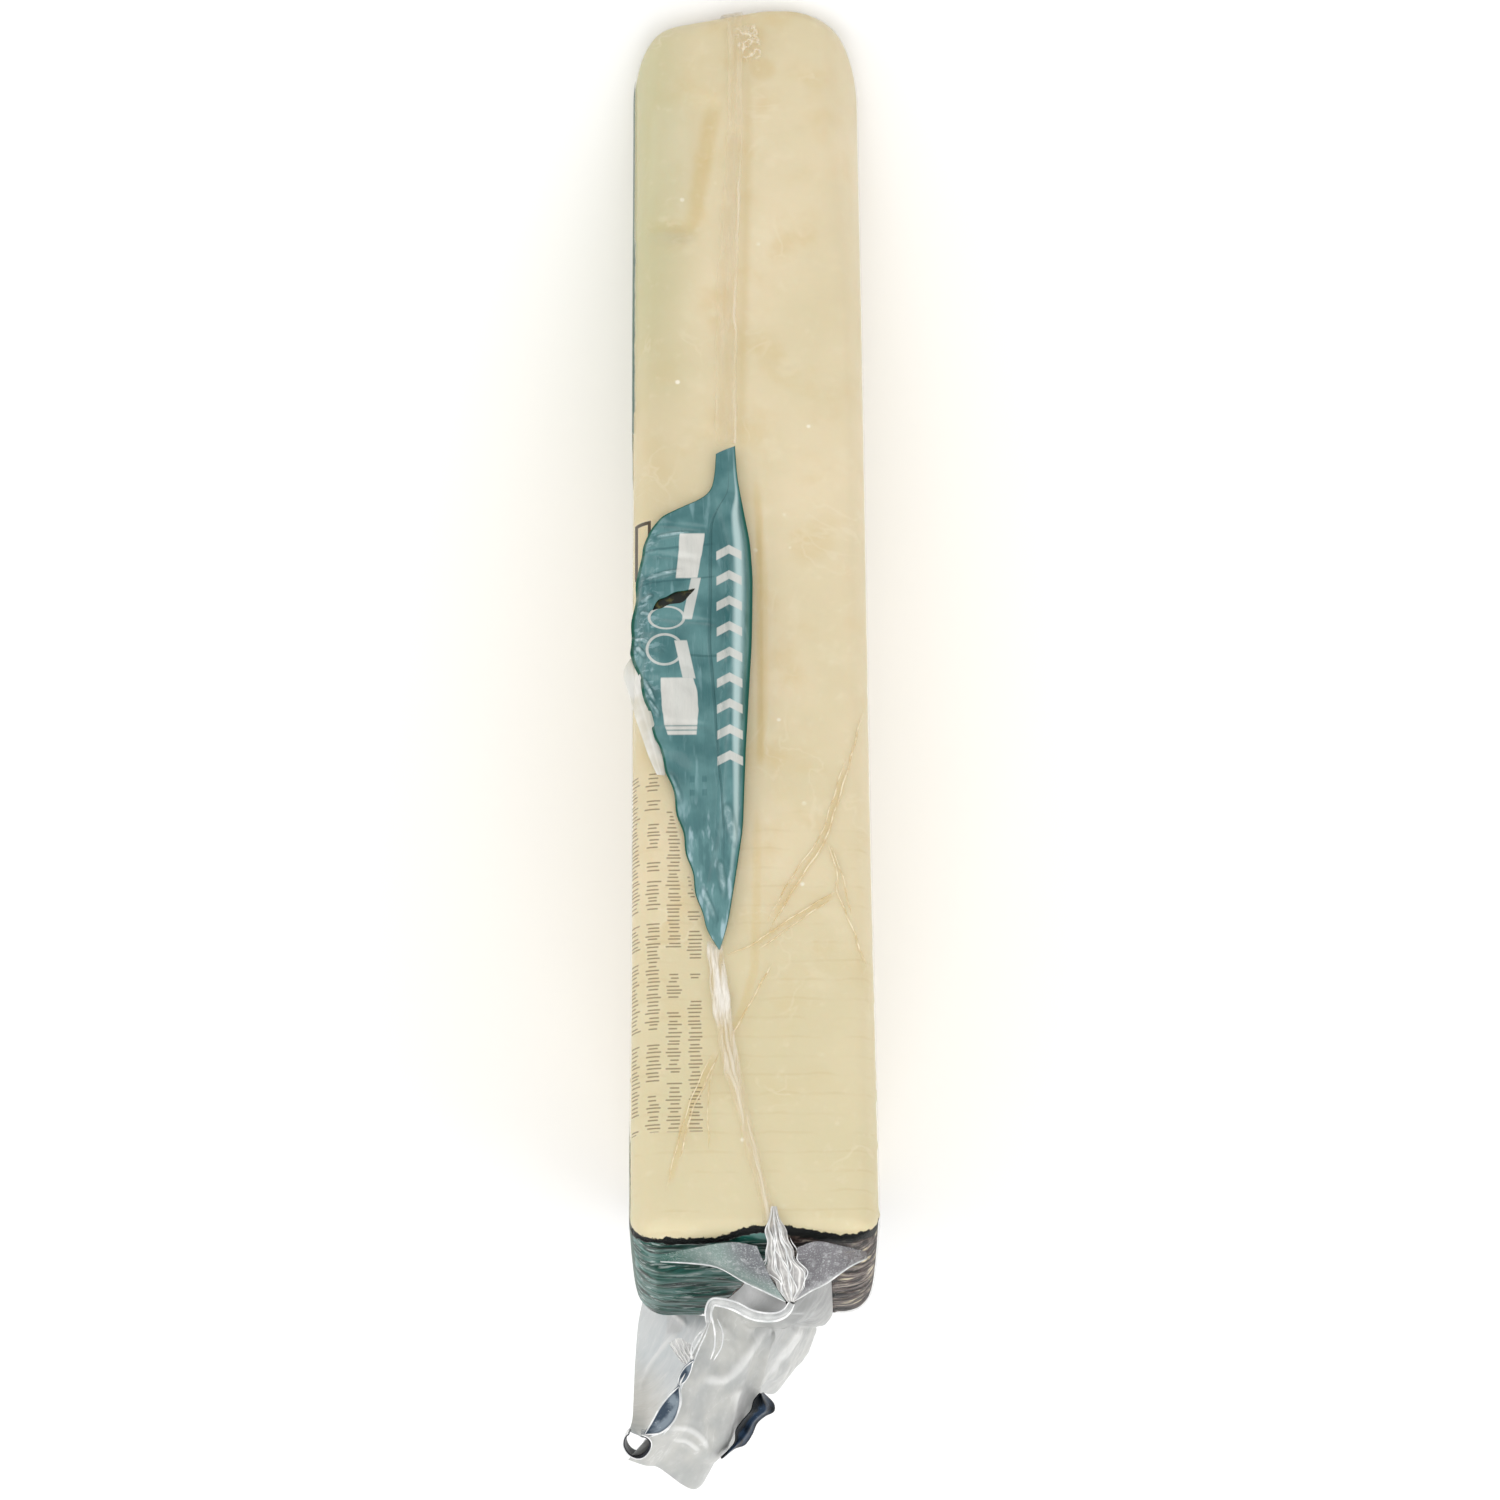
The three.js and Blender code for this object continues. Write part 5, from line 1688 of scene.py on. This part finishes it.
def seamBand():  # the doubled rim between its two beads
    path = curveAt(rimPath[:seam["shares"]])
    sheet = newSheet("tail_seam_band", 150, 14)

    def outward(s):
        along = path(np.minimum(s + 0.01, 1)) - path(np.maximum(s - 0.01, 0))
        side = np.cross(along, np.array([0, *viewTilt]))
        return side / np.linalg.norm(side, axis=-1, keepdims=True)

    def place(s, w):
        arch = 0.18 * np.sin(math.pi * w)
        width = seam["width"] * (0.55 + 0.45 * np.sin(math.pi * np.clip(s * 0.9 + 0.1, 0, 1)))
        shift = outward(s) * (width * (w - 0.5))[..., None]
        return (path(s) + shift + np.array(straightUp) * (0.25 + arch)[..., None]) * mm

    s, w = shapeSheet(sheet, place)
    addValue(sheet, "ridge", np.clip(np.abs(w - 0.5) * 2, 0, 1) ** 6)
    parts = [asFilm(sheet, seam["thickness"], straightUp)]
    shares = np.linspace(0, 1, 120)
    for w, radius in seam["beads"]:
        line = place(shares, np.full(120, w)) / mm + [0, 0, 0.06]
        parts.append(bead("seam", line, radius))
    for places, radius in seam["branches"]:
        parts.append(bead("seam", curveAt(places)(np.linspace(0, 1, 50)) + [0, 0, 0.25], radius))
    rest = curveAt(rimPath[seam["shares"] - 1:] + [(37.4, -11.0, 18.6)])
    for side, radius in ((-0.3, 0.1), (0.3, 0.09)):
        sway = side * np.sin(np.linspace(0.4, 3.0, 110))[:, None] * [1, 0.3, 0]
        parts.append(bead("seam", rest(np.linspace(0, 1, 110)) + sway + [0, 0, 0.25], radius))
    return parts


bunch = {
    "from": [(36, -8.6, 7.8), (37, -7.4, 8.0), (37.5, -6.2, 9.2)],
    "to": [(37.5, -7.3, 10.8), (37.7, -6.6, 11.2), (37.9, -6.0, 11.0)],
    "away": (0, 0.25, 0.97),
    "thickness": 0.07,
}


def crumpledBunch():
    first, last = curveAt(bunch["from"]), curveAt(bunch["to"])
    sheet = newSheet("tail_bunch", 90, 60)

    def middle(s, w):
        return blend(first(s), last(s), w[..., None])

    def place(s, w):
        crest = foldedLine(s, w, 4.3, 0.2) * 0.34 + foldedLine(s, w, 8.2, 1.1) * 0.14
        lift = crest * np.sin(math.pi * np.clip(w, 0.05, 0.95)) ** 0.7
        return (middle(s, w) + np.array(bunch["away"]) * (0.2 + lift)[..., None]) * mm

    s, w = shapeSheet(sheet, place)
    addValue(sheet, "ridge", foldedLine(s, w, 4.3, 0.2) ** 3)
    return asFilm(sheet, bunch["thickness"], straightUp)


# The rim gapes in two places, and its printed inside shows there.
openings = [
    {
        "left": [(37.9, -7.5, 13.4), (37.7, -8.5, 14.2), (37.6, -9.4, 15.3), (37.5, -10.1, 16.5),
                 (37.5, -10.9, 17.9)],
        "right": [(37.9, -7.5, 13.4), (37.8, -7.4, 14.9), (37.7, -8.0, 16.7), (37.6, -9.3, 17.8),
                  (37.5, -10.9, 17.9)],
        "depth": 0.9,
        "rim": 0.09,
    },
    {
        "left": [(37.9, -6.1, 10.8), (37.8, -7.0, 11.5), (37.8, -7.5, 12.4), (37.8, -7.6, 13.3)],
        "right": [(37.9, -6.1, 10.8), (37.8, -6.4, 11.9), (37.8, -6.9, 12.8), (37.8, -7.6, 13.3)],
        "depth": 0.4,
        "rim": 0.06,
    },
]
openingFilm = {"thickness": 0.08, "away": (0, 0.2, 0.98)}


def leafOpening(leaf):
    left, right = curveAt(leaf["left"]), curveAt(leaf["right"])
    sheet = newSheet("tail_opening", 70, 30)

    def place(s, w):
        base = blend(left(s), right(s), w[..., None])
        hollow = -leaf["depth"] * np.sin(math.pi * w) * np.sin(math.pi * s) ** 0.6
        return (base + np.array(openingFilm["away"]) * (0.75 + hollow * 0.6)[..., None]) * mm

    s, w = shapeSheet(sheet, place)
    addValue(sheet, "across", w)
    addValue(sheet, "along", s)
    mergeAndTurnOut(sheet, 0.002)
    asFilm(sheet, openingFilm["thickness"], straightUp, offset=-1)
    shares = np.linspace(0, 1, 60)
    rims = [bead("opening_rim", curve(shares) + [0, 0.1, 0.8], leaf["rim"]) for curve in (left, right)]
    return sheet, rims


curl = {
    "centre": (37.5, -11.6, 19.0),
    "radius": 1.34,
    "height": 4.6,
    "first": 128,  # degrees that it winds from and to
    "last": 428,
    "thickness": 0.09,
}


def curledEnd(name, inside, lift):
    sheet = newSheet(name, 90, 26)
    centre = pastRind(*curl["centre"])
    axisUp = Vector((0, *viewTilt))

    def place(s, w):
        turn = np.radians(blend(curl["first"], curl["last"], s))
        spiral = 1 - 0.24 * smoothStep(s, 0.78, 1.0) + 0.12 * np.sin(3 * turn) * 0.25
        flare = 1 + 0.1 * (w - 0.5)
        radius = (curl["radius"] - inside) * spiral * flare
        slant = 0.45 * np.sin(turn + 0.8) + 0.15 * np.sin(4 * turn)
        up = (w - 1) * curl["height"] + 0.9 + slant * w + lift
        across = np.cos(turn) * radius
        down = np.sin(turn) * radius
        offset = np.stack([across, down * viewTilt[1], -down * viewTilt[0]], axis=-1)
        return (np.array(centre) / mm + offset + np.array(axisUp) * up[..., None]) * mm

    s, w = shapeSheet(sheet, place)
    addValue(sheet, "across", w)
    addValue(sheet, "along", s)
    applyModifier(sheet, "SOLIDIFY", thickness=curl["thickness"] * mm, offset=0)
    smoothShade(sheet, 60)
    return sheet


darkFold = {
    "left": [(33.8, 0.4, 11.5), (33.8, -0.2, 12.2), (33.8, -0.5, 13.2), (33.8, -1.4, 14.3),
             (33.9, -2.0, 15.3), (33.8, -2.1, 16.3), (34.1, -2.8, 17.4), (34.3, -3.5, 18.2)],
    "right": [(32.8, 0.7, 10.9), (32.6, 1.8, 12.0), (32.6, 1.8, 12.7), (32.6, 0.9, 13.2),
              (32.6, 0.1, 13.9), (32.6, -0.4, 15.0), (32.6, -1.1, 16.0), (33.0, -2.1, 16.6),
              (34.2, -3.4, 18.3)],
    "lift": 0.8,
    "away": (0, 0.26, 0.97),
    "thickness": 0.1,
}


def darkFlap():  # the printed back of the rim, folded out at the right
    left, right = curveAt(darkFold["left"]), curveAt(darkFold["right"])
    sheet = newSheet("tail_dark_fold", 90, 30)

    def place(s, w):
        base = blend(left(s), right(s), w[..., None])
        fold = 0.7 * np.exp(-((w - 0.45 - 0.2 * np.sin(4 * s)) / 0.14) ** 2)
        fold = fold + 0.25 * np.sin(9 * s + 3 * w)
        lift = darkFold["lift"] + fold * np.sin(math.pi * np.clip(w, 0.1, 0.9))
        return (base + np.array(darkFold["away"]) * lift[..., None]) * mm

    s, w = shapeSheet(sheet, place)
    addValue(sheet, "across", w)
    addValue(sheet, "along", s)
    return asFilm(sheet, darkFold["thickness"], straightUp)


def tailFinish(name, cool):
    finish = Finish(name, Roughness=0.3, IOR=filmIndex, Specular_IOR_Level=0.4)
    x, p, q = finish.places()
    place = finish.joined(x, p, q)
    ridge = finish.value("ridge")
    along = finish.value("along")
    soft = finish.grain(place, 4.5, 3)
    fine = finish.grain(place, 0.9, 4, 0.6)
    down = p * viewTilt[1] + q * viewTilt[0]
    if cool:
        tone = finish.mix(soft.rise(0.35, 0.65), paint(180, 188, 191), paint(194, 199, 200))
        tone = finish.mix(down.rise(150.5, 154), tone, paint(200, 197, 186))
        # paler near the root: painted light where the sheet turns steeply away from the lamps; more
        # opaque there to hide the dark rind
        tone = finish.mix(along.rise(0.5, 0.3), tone, paint(240, 240, 240))
        alpha = 0.66 + soft.rise(0.3, 0.7) * 0.1 + ridge * 0.12 + along.rise(0.5, 0.3) * 0.22
        # a grey painted shadow of the fold below the bunch
        paintedFoldShadow = x.within(-9.6, -7.8, 0.15) * (down + x * 0.5 - 140.9).within(0.0, 2.2, 0.15)
        tone = finish.mix(paintedFoldShadow * 0.7, tone, paint(166, 168, 168))
    else:
        tone = finish.mix(soft.rise(0.35, 0.65), paint(176, 178, 176), paint(194, 194, 189))
        tone = finish.mix(down.rise(156, 160) * 0.6, tone, paint(220, 219, 213))
        tone = finish.mix(x.rise(-1, 4) * down.rise(145, 141) * 0.8, tone, paint(170, 171, 170))
        alpha = 0.76 + soft.rise(0.3, 0.7) * 0.12 + ridge * 0.1 - x.rise(0, 5) * down.rise(146, 142) * 0.2
    tone = finish.mix(fine.rise(0.5, 0.8) * 0.35, tone, paint(218, 219, 218))
    veins = (finish.grain(place, 4.2, 3, 0.55, 0.5) - 0.5).size().rise(0.014, 0.0) * soft.rise(0.45, 0.65)
    tone = finish.mix((ridge.rise(0.2, 0.9) * 0.6 + veins * 0.35).held(), tone, paint(238, 238, 236))
    finish.drive(Base_Color=tone, Alpha=alpha.held())
    finish.bump(fine * 0.4 + soft, 0.22, 0.35)
    return finish.material


def gatherFinish():
    finish = Finish("film_gathered", Roughness=0.3, IOR=filmIndex, Specular_IOR_Level=0.4)
    x, p, q = finish.places()
    ridge = finish.value("ridge")
    soft = finish.grain(finish.joined(x * 1.4, p, q), 1.1, 4)
    tone = finish.mix(soft.rise(0.4, 0.6), paint(206, 204, 202), paint(222, 220, 217))
    tone = finish.mix(ridge.rise(0.3, 0.9) * 0.85, tone, paint(246, 245, 242))
    finish.drive(Base_Color=tone, Alpha=(0.4 + ridge * 0.4 + soft.rise(0.42, 0.7) * 0.16).held())
    finish.bump(soft, 0.12, 0.4)
    return finish.material


def rimFinish():
    finish = Finish("film_rim", Roughness=0.2, IOR=filmIndex, Specular_IOR_Level=0.5)
    ridge = finish.value("ridge")
    soft = finish.grain(finish.spot(), 1.6, 3)
    tone = finish.mix(soft.rise(0.4, 0.6), paint(206, 208, 208), paint(224, 225, 224))
    tone = finish.mix(ridge, tone, paint(246, 246, 245))
    finish.drive(Base_Color=tone, Alpha=(0.42 + ridge * 0.35 + soft.rise(0.45, 0.7) * 0.12).held())
    finish.bump(soft, 0.1, 0.3)
    return finish.material


def beadFinish():
    finish = Finish("film_bead", Roughness=0.2, IOR=filmIndex)
    soft = finish.grain(finish.spot(), 1.2, 3)
    finish.drive(Base_Color=finish.mix(soft.rise(0.35, 0.65), paint(228, 230, 230), paint(250, 250, 249)),
                 Alpha=0.7 + soft.rise(0.35, 0.7) * 0.25)
    finish.bump(soft, 0.1, 0.4)
    return finish.material


def cornerFinish(side):
    finish = Finish("film_corner_" + side, Roughness=0.34, IOR=filmIndex, Specular_IOR_Level=0.3)
    x, p, q = finish.places()
    along = finish.value("along")
    across = finish.value("across")
    place = finish.joined(x, p, q)
    speck = finish.grain(place, 0.2, 3, 0.75)
    soft = finish.grain(place, 2.5, 3)
    wisps = finish.grain(finish.joined(x * 1.2, p, q * 0.5), 0.9, 4, 0.65)
    if side == "left":
        tone = finish.mix(along.rise(0.04, 0.42), paint(60, 116, 102), paint(142, 162, 156))
        tone = finish.mix(along.rise(0.55, 0.85) * across.rise(0.95, 0.4), tone, paint(120, 122, 126))
        alpha = 0.42 + along.rise(0.05, 0.5) * 0.26
    else:
        tone = finish.mix(along.rise(0.0, 0.45), paint(96, 90, 92), paint(126, 124, 128))
        alpha = 0.42 + along.rise(0.05, 0.5) * 0.22
    tone = finish.mix(speck.rise(0.54, 0.66) * 0.55, tone, paint(214, 218, 216))
    tone = finish.mix(wisps.rise(0.52, 0.66) * 0.4, tone, paint(204, 206, 206))
    tone = finish.mix(across.rise(0.86, 1.0) * 0.4, tone, paint(222, 224, 224))
    alpha = alpha + soft.rise(0.4, 0.7) * 0.1 + speck.rise(0.5, 0.64) * 0.12 + across.rise(0.8, 1.0) * 0.1
    finish.drive(Base_Color=tone, Alpha=alpha.held())
    finish.bump(speck * 0.6 + soft, 0.08, 0.4)
    return finish.material


def darkFinish(name, first, second, third):
    finish = Finish(name, Roughness=0.4, Specular_IOR_Level=0.12)
    place = finish.spot()
    across = finish.value("across")
    along = finish.value("along")
    soft = finish.grain(place, 1.8, 4)
    fine = finish.grain(place, 0.3, 3, 0.7)
    tone = finish.mix((soft + across * 0.25 - 0.12).rise(0.42, 0.6), paint(*first), paint(*second))
    tone = finish.mix(fine.rise(0.6, 0.75) * 0.5, tone, paint(*third))
    tone = finish.mix(across.rise(0.84, 0.97) * 0.7, tone, paint(*first))
    finish.drive(Base_Color=tone, Roughness=0.36 + along * 0.1)
    finish.bump(fine + soft, 0.12, 0.4)
    return finish.material


gatherFilm = gatherFinish()
beadFilm = beadFinish()
gathered = gatheredNeck()
settle(gathered, gatherFilm, "clear_film", "film_neck")
threads = neckThreads()
settle(threads, beadFilm, "clear_film")
ridges = pinchedRidges()
settle(ridges, pinchFinish(), "clear_film")
for side in ("left", "right"):
    piece, cornerSeam = cornerWeb(side)
    settle(piece, cornerFinish(side), "clear_film", "corner_web_" + side)
    settle(cornerSeam, beadFilm, "clear_film")
print("neck and corner webs")

tailBack = tailFilm(backTail, backFolds)
settle(tailBack, tailFinish("film_tail_back", False), "clear_film", "tail_back_film")
tailFront = tailFilm(frontTail, frontFolds)
settle(tailFront, tailFinish("film_tail_front", True), "clear_film", "tail_front_film")

seamParts = seamBand()
bunched = crumpledBunch()
gape, gapeRims = leafOpening(openings[0])
upperGape, upperRims = leafOpening(openings[1])
curlOutside = curledEnd("tail_curl", 0.0, 0.0)
curlInside = curledEnd("tail_curl_inner_painted_shade", 0.12, -0.05)
darkEdge = darkFlap()
rims = joinAll("tail_beads", seamParts[1:] + gapeRims + upperRims)
gape = joinAll("tail_openings", [gape, upperGape])
tailPieces = [
    (seamParts[0], rimFinish()),
    (bunched, gatherFilm),
    (rims, beadFilm),
    (gape, darkFinish("film_opening", (64, 78, 93), (138, 150, 160), (198, 207, 212))),
    (curlOutside, beadFilm),
    # a dark sheet of painted shade inside the curl
    (curlInside, darkFinish("film_curl_painted_shade", (12, 12, 20), (66, 70, 80), (140, 140, 148))),
    # the dark print of the rim's back, lightened in patches and flecks by painted highlight
    (darkEdge, darkFinish("film_dark_fold", (2, 8, 14), (34, 52, 72), (90, 112, 134))),
]
for piece, film in tailPieces:
    settle(piece, film, "clear_film")
print("tail")

bpy.context.view_layer.update()
